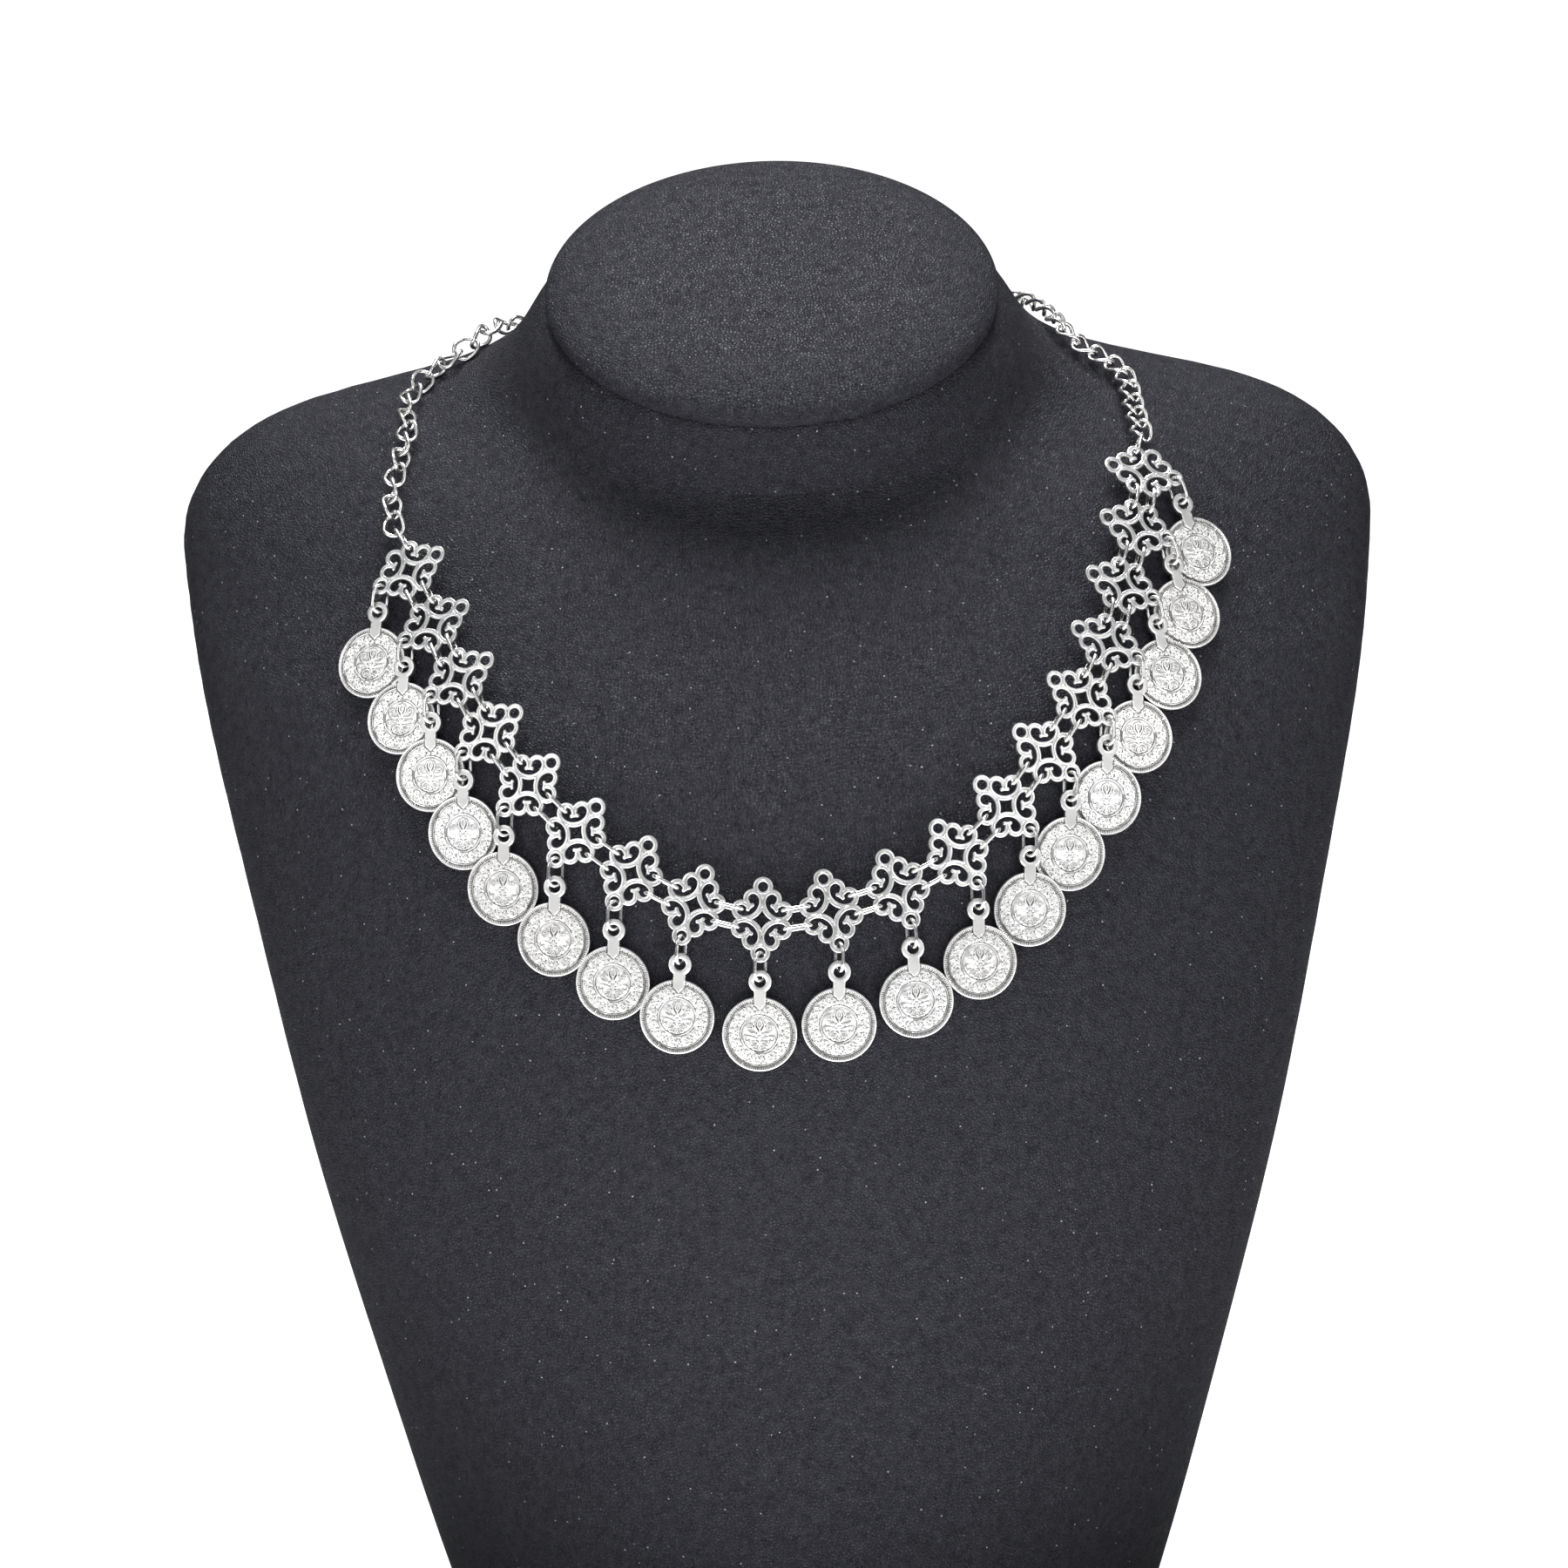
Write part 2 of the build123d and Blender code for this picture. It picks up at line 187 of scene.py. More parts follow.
class PlateSettings(bpy.types.PropertyGroup):
    spacing: millimetres("Mesh spacing", "Spacing of the plate's points", 0.24)
    edge_round: millimetres("Edge rounding", "Radius of the plate's front edges", 0.13)
    groove_inset: millimetres("Groove inset", "Distance of the cut line from each window", 0.52)
    groove_width: millimetres("Groove width", "Width of the cut line", 0.15)
    groove_depth: millimetres("Groove depth", "Depth of the cut line", 0.11)
    crown: millimetres("Crown", "Rise of each band between its edges", 0.05)


class CoinSettings(bpy.types.PropertyGroup):
    spacing: millimetres("Mesh spacing", "Widest spacing of the coin's points", 0.32)
    teeth: count("Teeth", "Notches in the ring inside the rim", 112)
    band_units: count("Scrolls", "Scrolls round the band", 12)
    relief: millimetres("Relief", "Depth of the ground below the rim", 0.15)
    stroke: millimetres("Stroke", "Width of the raised lines", 0.29)
    edge_round: millimetres("Edge rounding", "Radius of the coin's edges", 0.12)


class WireSettings(bpy.types.PropertyGroup):
    around: count("Steps round the wire", "Facets round the wire", 12)
    along: count("Steps along the wire", "Facets along one ring", 56)
    left_twist: angle("Left twist", "Twist of a link from end to end in the left chain", 62.0)
    left_roll: angle("Left roll", "Turn from link to link in the left chain", 60.0)
    right_twist: angle("Right twist", "Twist of a link from end to end in the right chain", 110.0)
    right_lean: angle("Right lean", "Turn of every link in the right chain", 0.0)


class StageSettings(bpy.types.PropertyGroup):
    elevation: angle("Elevation", "Camera's angle above the floor", 15.0)
    azimuth: angle("Azimuth", "Camera's angle to the left of the front", 0.5)
    roll: angle("Roll", "Turn of the picture", 1.6)
    distance: millimetres("Distance", "Camera's distance from its target", 1000.0)
    focal: FloatProperty(name="Focal length", description="Focal length in millimetres", default=112.0)
    floor_tone: colour("Floor", "Colour of the floor", (0.32, 0.32, 0.32))
    floor_glow: strength("Floor glow", "Brightness added to the floor where the camera sees it", 1.0)
    side_light: strength("Surround", "Least strength of the surround, low down and behind", 0.05)
    overhead_light: strength("Overhead", "Strength added overhead and a little in front", 0.3)
    top_power: power("Top light", "Power of the light overhead", 20.0)
    key_power: power("Key lights", "Power of the light at each side in front", 4.7)
    card_power: power("Card", "Power of the card that lies in front and faces up", 17.0)


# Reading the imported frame

def surface(node):
    """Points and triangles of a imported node, with the points at one place merged."""
    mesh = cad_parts[node].data
    mesh.calc_loop_triangles()
    corners = np.empty(len(mesh.vertices) * 3, np.float32)
    mesh.vertices.foreach_get("co", corners)
    sides = np.empty(len(mesh.loop_triangles) * 3, np.int32)
    mesh.loop_triangles.foreach_get("vertices", sides)
    points, same = np.unique(corners.reshape(-1, 3), axis=0, return_inverse=True)
    return points.astype(float), same.reshape(-1)[sides.reshape(-1, 3)]


def unit(vector):
    """A vector brought to length one."""
    return vector / np.linalg.norm(vector)


def units(vectors):
    """Each row of an array brought to length one."""
    return vectors / np.linalg.norm(vectors, axis=1)[:, None]


def solids(node):
    """The separate solids of a node, each as its own points and triangles."""
    points, triangles = surface(node)
    label = np.arange(len(points))
    while True:
        lowest = label.copy()
        np.minimum.at(lowest, triangles.ravel(), np.repeat(label[triangles].min(axis=1), 3))
        lowest = lowest[lowest]
        if (lowest == label).all():
            break
        label = lowest
    owner = label[triangles[:, 0]]
    return [(points, triangles[owner == first]) for first in np.unique(owner)]


def leather_tree():
    """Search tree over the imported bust, for rays and nearest points."""
    points, triangles = surface("bust_body")
    return BVHTree.FromPolygons(points.tolist(), triangles.tolist())


def core():
    """A point deep inside the bust, behind the row of plates."""
    further_back, rise = 0.02, 0.66
    low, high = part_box("bust_body")
    middle = (low.x + high.x) / 2, (low.y + high.y) / 2
    return np.array((middle[0], middle[1] + further_back, low.z + rise * (high.z - low.z)))


def moments(points, triangles):
    """Centre of a surface and the directions of its spread, least first."""
    a, b, c = (points[triangles[:, k]] for k in range(3))
    area = np.linalg.norm(np.cross(b - a, c - a), axis=1)
    centre = (area[:, None] * (a + b + c)).sum(0) / area.sum() / 3
    corners = [a - centre, b - centre, c - centre]
    corners.append(corners[0] + corners[1] + corners[2])
    spread = sum(np.einsum("n,ni,nj->ij", area, p, p) for p in corners)
    return centre, np.linalg.eigh(spread)[1]


def pose(points, triangles):
    """Placement of a flat solid: x across it, y along it, z out of its face, away from the bust."""
    centre, axes = moments(points, triangles)
    out = axes[:, 0] if axes[:, 0] @ (centre - core()) > 0 else -axes[:, 0]
    a, b, c = (points[triangles[:, k]] for k in range(3))
    facing = np.cross(b - a, c - a)
    level = facing @ out > FACING * np.linalg.norm(facing, axis=1)
    out = unit(facing[level].sum(axis=0))
    long = unit(axes[:, 2] - (axes[:, 2] @ out) * out)
    reach = (points[np.unique(triangles)] - centre) @ long
    if reach.max() + reach.min() < 0:
        long = -long
    placed = np.eye(4)
    placed[:3, :3] = np.stack((np.cross(long, out), long, out), axis=1)
    placed[:3, 3] = centre
    return placed


def inside_pose(points, placed):
    """Points in the coordinates of a placement, in millimetres."""
    return (points - placed[:3, 3]) @ placed[:3, :3] / MM


# Outlines and relief

def outlines(points, triangles, level):
    """Closed outlines of the flat face that lies at that level, the widest first."""
    flat = triangles[(abs(points[triangles][:, :, 2] - level) < LEVEL_CLOSE).all(axis=1)]
    sides = {(int(a), int(b)) for tri in flat for a, b in zip(tri, np.roll(tri, -1))}
    following = {a: b for a, b in sides if (b, a) not in sides}
    loops = []
    while following:
        start, here = following.popitem()
        loop = [start]
        while here != start:
            loop.append(here)
            here = following.pop(here)
        loops.append(points[loop][:, :2])
    return sorted(loops, key=lambda loop: -np.ptp(loop[:, 0]))


def finer(loop, spacing):
    """A closed outline with its long sides divided."""
    divided = []
    for a, b in zip(loop, np.roll(loop, -1, axis=0)):
        steps = max(1, math.ceil(np.linalg.norm(b - a) / spacing))
        divided.extend(a + (b - a) * step / steps for step in range(steps))
    return np.array(divided)


def run_of(line):
    """From the point before to the point after, at each point of a closed line."""
    return np.roll(line, -1, axis=0) - np.roll(line, 1, axis=0)


def beside(line, distance, closed=True):
    """A copy of a line, moved to its left by a distance."""
    ahead = units(run_of(line) if closed else np.gradient(line, axis=0))
    return line + distance * np.stack((-ahead[:, 1], ahead[:, 0]), axis=1)


def gap_to(points, lines, closed=True):
    """Distance of each point from the nearest of the lines."""
    nearest = np.full(len(points), np.inf)
    for line in lines:
        ends = np.roll(line, -1, axis=0) if closed else line[1:]
        starts = line if closed else line[:-1]
        run = ends - starts
        length = np.maximum((run ** 2).sum(1), 1e-12)
        way = np.clip(((points[:, None] - starts) * run).sum(2) / length, 0, 1)
        foot = starts + way[:, :, None] * run
        nearest = np.minimum(nearest, np.linalg.norm(points[:, None] - foot, axis=2).min(1))
    return nearest


def encloses(points, loops):
    """Whether each point lies inside the outlines, with holes left out."""
    odd = np.zeros(len(points), bool)
    for loop in loops:
        a, b = loop, np.roll(loop, -1, axis=0)
        for (ax, ay), (bx, by) in zip(a, b):
            if ay == by:
                continue
            crosses = (ay > points[:, 1]) != (by > points[:, 1])
            odd ^= crosses & (points[:, 0] < ax + (points[:, 1] - ay) * (bx - ax) / (by - ay))
    return odd


def filled(loops, inner):
    """Triangles that fill outlines through inner points: (points, triangles, the outlines' places)."""
    given = np.concatenate([*loops, inner]) if len(inner) else np.concatenate(loops)
    sides, first = [], 0
    for loop in loops:
        sides += [(first + k, first + (k + 1) % len(loop)) for k in range(len(loop))]
        first += len(loop)
    made, _, faces, origin, _, _ = delaunay_2d_cdt([Vector(p) for p in given], sides, [], 0, 1e-6)
    points = np.array([tuple(p) for p in made])
    faces = np.array(faces)
    faces = faces[encloses(points[faces].mean(axis=1), loops)]
    place = {source: index for index, sources in enumerate(origin) for source in sources}
    return points, faces, [place[k] for k in range(first)]


def grid_over(loop, step):
    """A square grid of points over the box round an outline."""
    low, high = loop.min(axis=0), loop.max(axis=0)
    across, up = np.arange(low[0], high[0], step), np.arange(low[1], high[1], step)
    return np.stack(np.meshgrid(across, up), -1).reshape(-1, 2)


def smooth_step(value):
    """From nought to one, with level ends."""
    value = np.clip(value, 0, 1)
    return value * value * (3 - 2 * value)


def rounded(gap, radius):
    """Drop of a rounded edge at a distance from the outline."""
    near = np.clip(1 - gap / radius, 0, 1)
    return radius * (1 - np.sqrt(1 - near * near))


def thick_sheet(loops, inner, height, back):
    """A closed plate: front through the inner points at the height function, straight walls, flat back."""
    front, front_faces, rim = filled(loops, inner)
    rear, rear_faces, rear_rim = filled(loops, np.empty((0, 2)))
    level, recess = height(front)
    behind = np.column_stack((rear, np.full(len(rear), back)))
    points = np.concatenate((np.column_stack((front, level)), behind))
    # The back takes painted shade, which runs up the walls to the front's edge
    recess = np.concatenate((recess, np.full(len(rear), BACK_SHADE)))
    faces = front_faces.tolist() + (rear_faces[:, ::-1] + len(front)).tolist()
    first = 0
    for loop in loops:
        for k in range(len(loop)):
            here, after = first + k, first + (k + 1) % len(loop)
            below, below_after = len(front) + rear_rim[here], len(front) + rear_rim[after]
            faces.append((rim[here], below, below_after, rim[after]))
        first += len(loop)
    return points * MM, faces, recess


# Pieces

def add_mesh(name, points, faces, recess=None, sharp=35.0):
    """A smooth shaded mesh with its patina in the recesses and its painted shade as an attribute."""
    mesh = bpy.data.meshes.new(name)
    mesh.from_pydata(np.asarray(points).tolist(), [], [tuple(face) for face in faces])
    whole = bmesh.new()
    whole.from_mesh(mesh)
    bmesh.ops.recalc_face_normals(whole, faces=whole.faces)
    whole.to_mesh(mesh)
    whole.free()
    mesh.shade_smooth()
    mesh.set_sharp_from_angle(angle=math.radians(sharp))
    if recess is not None:
        # The attribute holds patina in the recesses and painted shade
        depth = mesh.attributes.new("recess", "FLOAT", "POINT")
        depth.data.foreach_set("value", recess.astype(np.float32))
    return mesh


def add_piece(name, mesh, material, nodes, placed=None):
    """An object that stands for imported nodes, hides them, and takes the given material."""
    piece = bpy.data.objects.new(name, mesh)
    bpy.context.scene.collection.objects.link(piece)
    if placed is not None:
        piece.matrix_world = Matrix(placed.tolist())
    if material.name not in mesh.materials:
        mesh.materials.append(material)
    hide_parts(*nodes)
    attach(piece, BODY)
    return piece


def add_copies(kind, finer_kind, mesh, material, nodes):
    """A piece for every node of a kind, all with one mesh, each in the place of its own node."""
    for node in nodes:
        name = node.replace(kind, finer_kind)
        add_piece(name, mesh, material, [node], pose(*surface(node)))


def ring_line(length, width, wire, steps):
    """Middle line of an oval ring in its own plane, with its long way along y."""
    bend = (width - wire) / 2
    straight = length - width
    whole = 2 * math.pi * bend + 2 * straight
    points = []
    for step in range(steps):
        run = (whole * step / steps + straight / 2) % whole
        half, run = divmod(run, whole / 2)
        if run < straight:
            across, along = bend, run - straight / 2
        else:
            turn = (run - straight) / bend
            across, along = bend * math.cos(turn), straight / 2 + bend * math.sin(turn)
        sign = 1 if half == 0 else -1
        points.append((sign * across, sign * along, 0.0))
    return np.array(points)


def tube(line, wire, around):
    """Round wire along a closed line: (points, faces)."""
    ahead = units(run_of(line))
    outward = line - line.mean(axis=0)
    outward = units(outward - (outward * ahead).sum(1)[:, None] * ahead)
    side = np.cross(ahead, outward)
    turns = (2 * math.pi * np.arange(around) / around)[None, :, None]
    ring = np.cos(turns) * outward[:, None] + np.sin(turns) * side[:, None]
    points = (line[:, None] + wire / 2 * ring).reshape(-1, 3)
    steps = len(line)
    faces = []
    for k in range(steps):
        for j in range(around):
            k2, j2 = (k + 1) % steps, (j + 1) % around
            faces.append((k * around + j, k2 * around + j, k2 * around + j2, k * around + j2))
    return points, faces


def moved(points, placed):
    """Local points carried to a placement."""
    return points @ placed[:3, :3].T + placed[:3, 3]


def joined(parts):
    """Several meshes as one: (points, faces)."""
    points, faces, first = [], [], 0
    for some, sides in parts:
        points.append(some)
        faces += [tuple(first + k for k in side) for side in sides]
        first += len(some)
    return np.concatenate(points), faces


# Shader node groups

def new_group(name, inputs, outputs):
    """An empty shader node group of numbers: (group, its input node, its output node)."""
    group = bpy.data.node_groups.new(name, "ShaderNodeTree")
    for label, value in inputs:
        socket = group.interface.new_socket(name=label, in_out="INPUT", socket_type="NodeSocketFloat")
        socket.default_value = value
    for label in outputs:
        group.interface.new_socket(name=label, in_out="OUTPUT", socket_type="NodeSocketFloat")
    return group, group.nodes.new("NodeGroupInput"), group.nodes.new("NodeGroupOutput")


def put(tree, kind, inputs=None, **settings):
    """A node with its settings and inputs; an input is a value or another node's output."""
    node = tree.nodes.new(kind)
    for name, value in settings.items():
        setattr(node, name, value)
    for name, value in (inputs or {}).items():
        if isinstance(value, bpy.types.NodeSocket):
            tree.links.new(value, node.inputs[name])
        else:
            node.inputs[name].default_value = value
    return node


def math_node(tree, operation, first, second=0.0, third=0.0, clamp=False):
    """Result of a sum or other arithmetic on one to three values."""
    values = {0: first, 1: second, 2: third}
    return put(tree, "ShaderNodeMath", values, operation=operation, use_clamp=clamp).outputs[0]


def spread_node(tree, value, low, high, to_low=0.0, to_high=1.0):
    """A value taken from one range to another, held inside it."""
    inputs = {"Value": value, "From Min": low, "From Max": high, "To Min": to_low, "To Max": to_high}
    return put(tree, "ShaderNodeMapRange", inputs).outputs["Result"]


def vector_node(tree, operation, first, second):
    """Result of arithmetic on two vectors."""
    return put(tree, "ShaderNodeVectorMath", {0: first, 1: second}, operation=operation).outputs[0]


def noise_node(tree, place, scale, detail):
    """A noise texture at a place."""
    return put(tree, "ShaderNodeTexNoise", {"Vector": place, "Scale": scale, "Detail": detail})


def own_place(tree):
    """Texture coordinates that differ from one piece to the next, though the pieces share a mesh."""
    inside = put(tree, "ShaderNodeTexCoord").outputs["Object"]
    where = put(tree, "ShaderNodeObjectInfo").outputs["Location"]
    return vector_node(tree, "ADD", inside, where)


def leather_grain_group():
    """Pebbled grain of leatherette: its height, its creases (a mask for their painted shade), and how its
    gloss varies.
    """
    inputs = [("Scale", 1600.0), ("Unevenness", 0.5)]
    group, given, result = new_group("leather_grain", inputs, ["Height", "Crease", "Mottle"])
    place = put(group, "ShaderNodeTexCoord").outputs["Object"]
    warp = noise_node(group, place, 240.0, 2.0).outputs["Color"]
    bent = vector_node(group, "MULTIPLY", warp, (0.6 * MM,) * 3)
    shifted = vector_node(group, "ADD", place, bent)
    cells = put(group, "ShaderNodeTexVoronoi", {"Vector": shifted, "Scale": given.outputs["Scale"]},
                feature="DISTANCE_TO_EDGE")
    pebble = spread_node(group, cells.outputs["Distance"], 0.0, 0.28)
    swell = noise_node(group, place, 330.0, 4.0).outputs["Fac"]
    lifted = math_node(group, "MULTIPLY_ADD", swell, given.outputs["Unevenness"], pebble)
    crease = spread_node(group, cells.outputs["Distance"], 0.12, 0.0)
    group.links.new(lifted, result.inputs["Height"])
    group.links.new(crease, result.inputs["Crease"])
    fine = noise_node(group, place, 2300.0, 2.0).outputs["Fac"]
    broad = noise_node(group, place, 520.0, 3.0).outputs["Fac"]
    mottle = math_node(group, "MULTIPLY_ADD", broad, 0.6, math_node(group, "MULTIPLY", fine, 0.9))
    group.links.new(spread_node(group, mottle, 0.48, 1.02), result.inputs["Mottle"])
    return group


def dust_group():
    """Scattered dust specks: a mask of their places."""
    group, given, result = new_group("dust_specks", [("Scale", 190.0), ("Size", 0.06)], ["Mask"])
    place = put(group, "ShaderNodeTexCoord").outputs["Object"]
    cells = put(group, "ShaderNodeTexVoronoi", {"Vector": place, "Scale": given.outputs["Scale"]})
    near = math_node(group, "LESS_THAN", cells.outputs["Distance"], given.outputs["Size"])
    pick = put(group, "ShaderNodeSeparateColor", {"Color": cells.outputs["Color"]}).outputs["Red"]
    chosen = math_node(group, "GREATER_THAN", pick, 0.45)
    group.links.new(math_node(group, "MULTIPLY", near, chosen), result.inputs["Mask"])
    return group


def tarnish_group():
    """Tarnish and painted shade on silver: a mask that is full in the recesses and where shade is painted
    along edges, and patchy on the open metal.
    """
    inputs = [("Recess", 0.0), ("Patch scale", 260.0), ("Patches", 0.25)]
    group, given, result = new_group("tarnish", inputs, ["Mask"])
    place = own_place(group)
    cloud = noise_node(group, place, given.outputs["Patch scale"], 5.0)
    patch = spread_node(group, cloud.outputs["Fac"], 0.46, 0.78)
    patchy = math_node(group, "MULTIPLY", patch, given.outputs["Patches"])
    total = math_node(group, "ADD", patchy, given.outputs["Recess"], clamp=True)
    group.links.new(total, result.inputs["Mask"])
    return group


def fine_wear_group():
    """Fine wear of handled metal: the height of scratches and dents, and a mask of the worn lines."""
    group, given, result = new_group("fine_wear", [("Scale", 900.0), ("Dents", 0.4)], ["Height", "Wear"])
    place = own_place(group)
    drawn = vector_node(group, "MULTIPLY", place, (1.0, 0.16, 1.0))
    hair = noise_node(group, drawn, given.outputs["Scale"], 3.0).outputs["Fac"]
    dent = noise_node(group, place, 420.0, 2.0).outputs["Fac"]
    total = math_node(group, "MULTIPLY_ADD", dent, given.outputs["Dents"], hair)
    group.links.new(total, result.inputs["Height"])
    group.links.new(spread_node(group, hair, 0.5, 0.72), result.inputs["Wear"])
    return group


GROUPS = {}


def shared(tree, maker, inputs):
    """A shared node group placed in a material with its own values, and built at its first use."""
    if maker not in GROUPS:
        GROUPS[maker] = maker()
    return put(tree, "ShaderNodeGroup", inputs, node_tree=GROUPS[maker])


def new_material(name):
    """An empty material: (material, its tree, its Principled shader)."""
    material = bpy.data.materials.new(name)
    material.use_nodes = True
    return material, material.node_tree, material.node_tree.nodes["Principled BSDF"]


def mix_colour(tree, factor, first, second):
    """Two colours mixed by a factor; each is a colour or another node's output."""
    node = put(tree, "ShaderNodeMix", data_type="RGBA")
    tree.links.new(factor, node.inputs[0])
    for socket, value in ((node.inputs[6], first), (node.inputs[7], second)):
        if isinstance(value, bpy.types.NodeSocket):
            tree.links.new(value, socket)
        else:
            socket.default_value = (*value, 1.0)
    return node.outputs[2]


def add_bump(tree, shader, height, distance):
    """Feeds a height to the shader's normal."""
    bump = put(tree, "ShaderNodeBump", {"Height": height, "Distance": distance, "Strength": 1.0})
    tree.links.new(bump.outputs["Normal"], shader.inputs["Normal"])


def leather_material(name, settings, dust_size):
    """Matt black leatherette with pebbled grain, painted shade in the grain's creases, and a little dust."""
    material, tree, shader = new_material(name)
    grain = shared(tree, leather_grain_group, {"Scale": 1.0 / settings.grain, "Unevenness": 0.6})
    dust = shared(tree, dust_group, {"Scale": DUST_SCALE, "Size": dust_size})
    # Painted shade: the creases of the grain are darkened in the base colour
    base = mix_colour(tree, grain.outputs["Crease"], settings.tone, settings.crease_shade_tone)
    base = mix_colour(tree, dust.outputs["Mask"], base, settings.dust_tone)
    tree.links.new(base, shader.inputs["Base Color"])
    crease_rough, pebble_rough = settings.roughness + 0.14, settings.roughness - 0.04
    rough = spread_node(tree, grain.outputs["Height"], 0.2, 1.4, crease_rough, pebble_rough)
    tree.links.new(rough, shader.inputs["Roughness"])
    gloss = spread_node(tree, grain.outputs["Mottle"], 0.0, 1.0, settings.gloss - settings.mottle,
                        settings.gloss + settings.mottle)
    tree.links.new(gloss, shader.inputs["Specular IOR Level"])
    shader.inputs["Specular Tint"].default_value = (*settings.sheen_tone, 1.0)
    add_bump(tree, shader, grain.outputs["Height"], settings.grain_depth)
    return material


def silver_material(name, settings, roughness, patches, warmth):
    """Silver plating with tarnish in its recesses, painted shade along its edges and raised lines, patches
    on the open metal, and fine wear.
    """
    material, tree, shader = new_material(name)
    # Patina and painted shade from the mesh darken the metal towards the tarnish colour
    recess = put(tree, "ShaderNodeAttribute", attribute_name="recess").outputs["Fac"]
    tarnish = shared(tree, tarnish_group, {"Recess": recess, "Patches": patches})
    wear = shared(tree, fine_wear_group, {"Scale": 900.0, "Dents": 0.5})
    own = put(tree, "ShaderNodeObjectInfo").outputs["Random"]
    worn = math_node(tree, "MULTIPLY_ADD", own, 0.5, math_node(tree, "MULTIPLY", wear.outputs["Wear"], 0.5))
    metal = mix_colour(tree, math_node(tree, "MULTIPLY", worn, warmth), settings.bright, settings.warm)
    base = mix_colour(tree, tarnish.outputs["Mask"], metal, settings.tarnish)
    tree.links.new(base, shader.inputs["Base Color"])
    shader.inputs["Metallic"].default_value = 1.0
    rough = spread_node(tree, tarnish.outputs["Mask"], 0.0, 1.0, roughness, roughness + 0.22)
    tree.links.new(rough, shader.inputs["Roughness"])
    add_bump(tree, shader, wear.outputs["Height"], 0.02 * MM)
    return material


# The bust and its cap

def closed_rows(rows, low, high):
    """Rows of points round a form, closed by a point at each end: (points, faces)."""
    around = len(rows[0])
    points = np.concatenate([*rows, [low, high]])
    faces = []
    for row in range(len(rows) - 1):
        for k in range(around):
            after = (k + 1) % around
            faces.append((row * around + k, row * around + after,
                          (row + 1) * around + after, (row + 1) * around + k))
    bottom, top = len(points) - 2, len(points) - 1
    last = (len(rows) - 1) * around
    for k in range(around):
        after = (k + 1) % around
        faces.append((after, k, bottom))
        faces.append((last + k, last + after, top))
    return points, faces


def subdivided(piece, levels):
    """Adds a subdivision surface to a piece."""
    smoothing = piece.modifiers.new("smooth_surface", "SUBSURF")
    smoothing.levels = smoothing.render_levels = levels
    return piece


def cap_axes():
    """Across, front-to-back and upward directions of the neck's tilted cap."""
    _, axes = moments(*surface("neck_cap"))
    rise = axes[:, 0] * np.sign(axes[2, 0])
    across = np.array((1.0, 0.0, 0.0))
    return across, np.cross(rise, across), rise


def bust_surface(settings):
    """The bust as an even net of points, cast from a line up its middle: (points, faces)."""
    tree = leather_tree()
    _, back, rise = cap_axes()
    tilt = math.atan2(back[2], back[1])
    points, _ = surface("bust_body")
    low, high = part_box("bust_body")
    heights = points @ rise
    top = points[heights > heights.max() - END_CLOSE].mean(axis=0)
    foot = np.array(((low.x + high.x) / 2, points[points[:, 2] < END_CLOSE][:, 1].mean(), 0.0))
    turns = 2 * math.pi * np.arange(settings.around) / settings.around
    rows = []
    for row in range(settings.upward + 1):
        way = row / settings.upward
        lean = tilt * smooth_step((way - LEAN_FROM) / LEAN_SPAN)
        centre = foot + (top - foot) * (BUST_END_GAP + BUST_SPAN * way)
        plane = np.array(((1.0, 0.0, 0.0), (0.0, math.cos(lean), math.sin(lean))))
        ring = []
        for turn in turns:
            out = math.cos(turn) * plane[0] + math.sin(turn) * plane[1]
            found = tree.ray_cast(Vector(centre), Vector(out))[0]
            if found is None:
                raise RuntimeError(f"the bust has no surface at row {row}")
            ring.append(found)
        rows.append(np.array(ring))
    lower = rows[0] + BUST_EDGE * units(foot - rows[0])
    lower[:, 2] = 0.0
    upper = rows[-1] + BUST_EDGE * units(top - rows[-1])
    upper += np.outer(heights.max() - upper @ rise, rise)
    return closed_rows([lower, *rows, upper], foot, top)


def cap_surface(settings):
    """The padded cap as rows from its underside round its rim and over its domed top: (points, faces)."""
    axes = np.stack(cap_axes())
    points, _ = surface("neck_cap")
    local = points @ axes.T
    low, high = local.min(axis=0), local.max(axis=0)
    centre, half = (low + high) / 2, (high - low) / 2
    thick = high[2] - low[2] + settings.cap_puff
    rim = settings.rim_rise
    turns = 2 * math.pi * np.arange(CAP_STEPS) / CAP_STEPS
    profile = [(reach, 0.0) for reach in CAP_UNDERSIDE]
    for step in range(1, CAP_EDGE_STEPS):
        bend = math.pi / 2 * step / CAP_EDGE_STEPS
        profile.append((CAP_EDGE + CAP_BULGE * math.sin(bend), rim * (1 - math.cos(bend))))
    for step in range(CAP_ROWS):
        lift = math.sin(math.pi / 2 * step / CAP_ROWS)
        profile.append(((1 - lift ** 2) ** 0.25, rim + (1 - rim) * lift))
    rows = []
    for reach, height in profile:
        ring = np.empty((CAP_STEPS, 3))
        ring[:, 0] = centre[0] + reach * half[0] * np.cos(turns)
        ring[:, 1] = centre[1] + reach * half[1] * np.sin(turns)
        ring[:, 2] = low[2] + height * thick
        rows.append(ring @ axes)
    bottom = np.array((centre[0], centre[1], low[2])) @ axes
    top = np.array((centre[0], centre[1], low[2] + thick)) @ axes
    return closed_rows(rows, bottom, top)


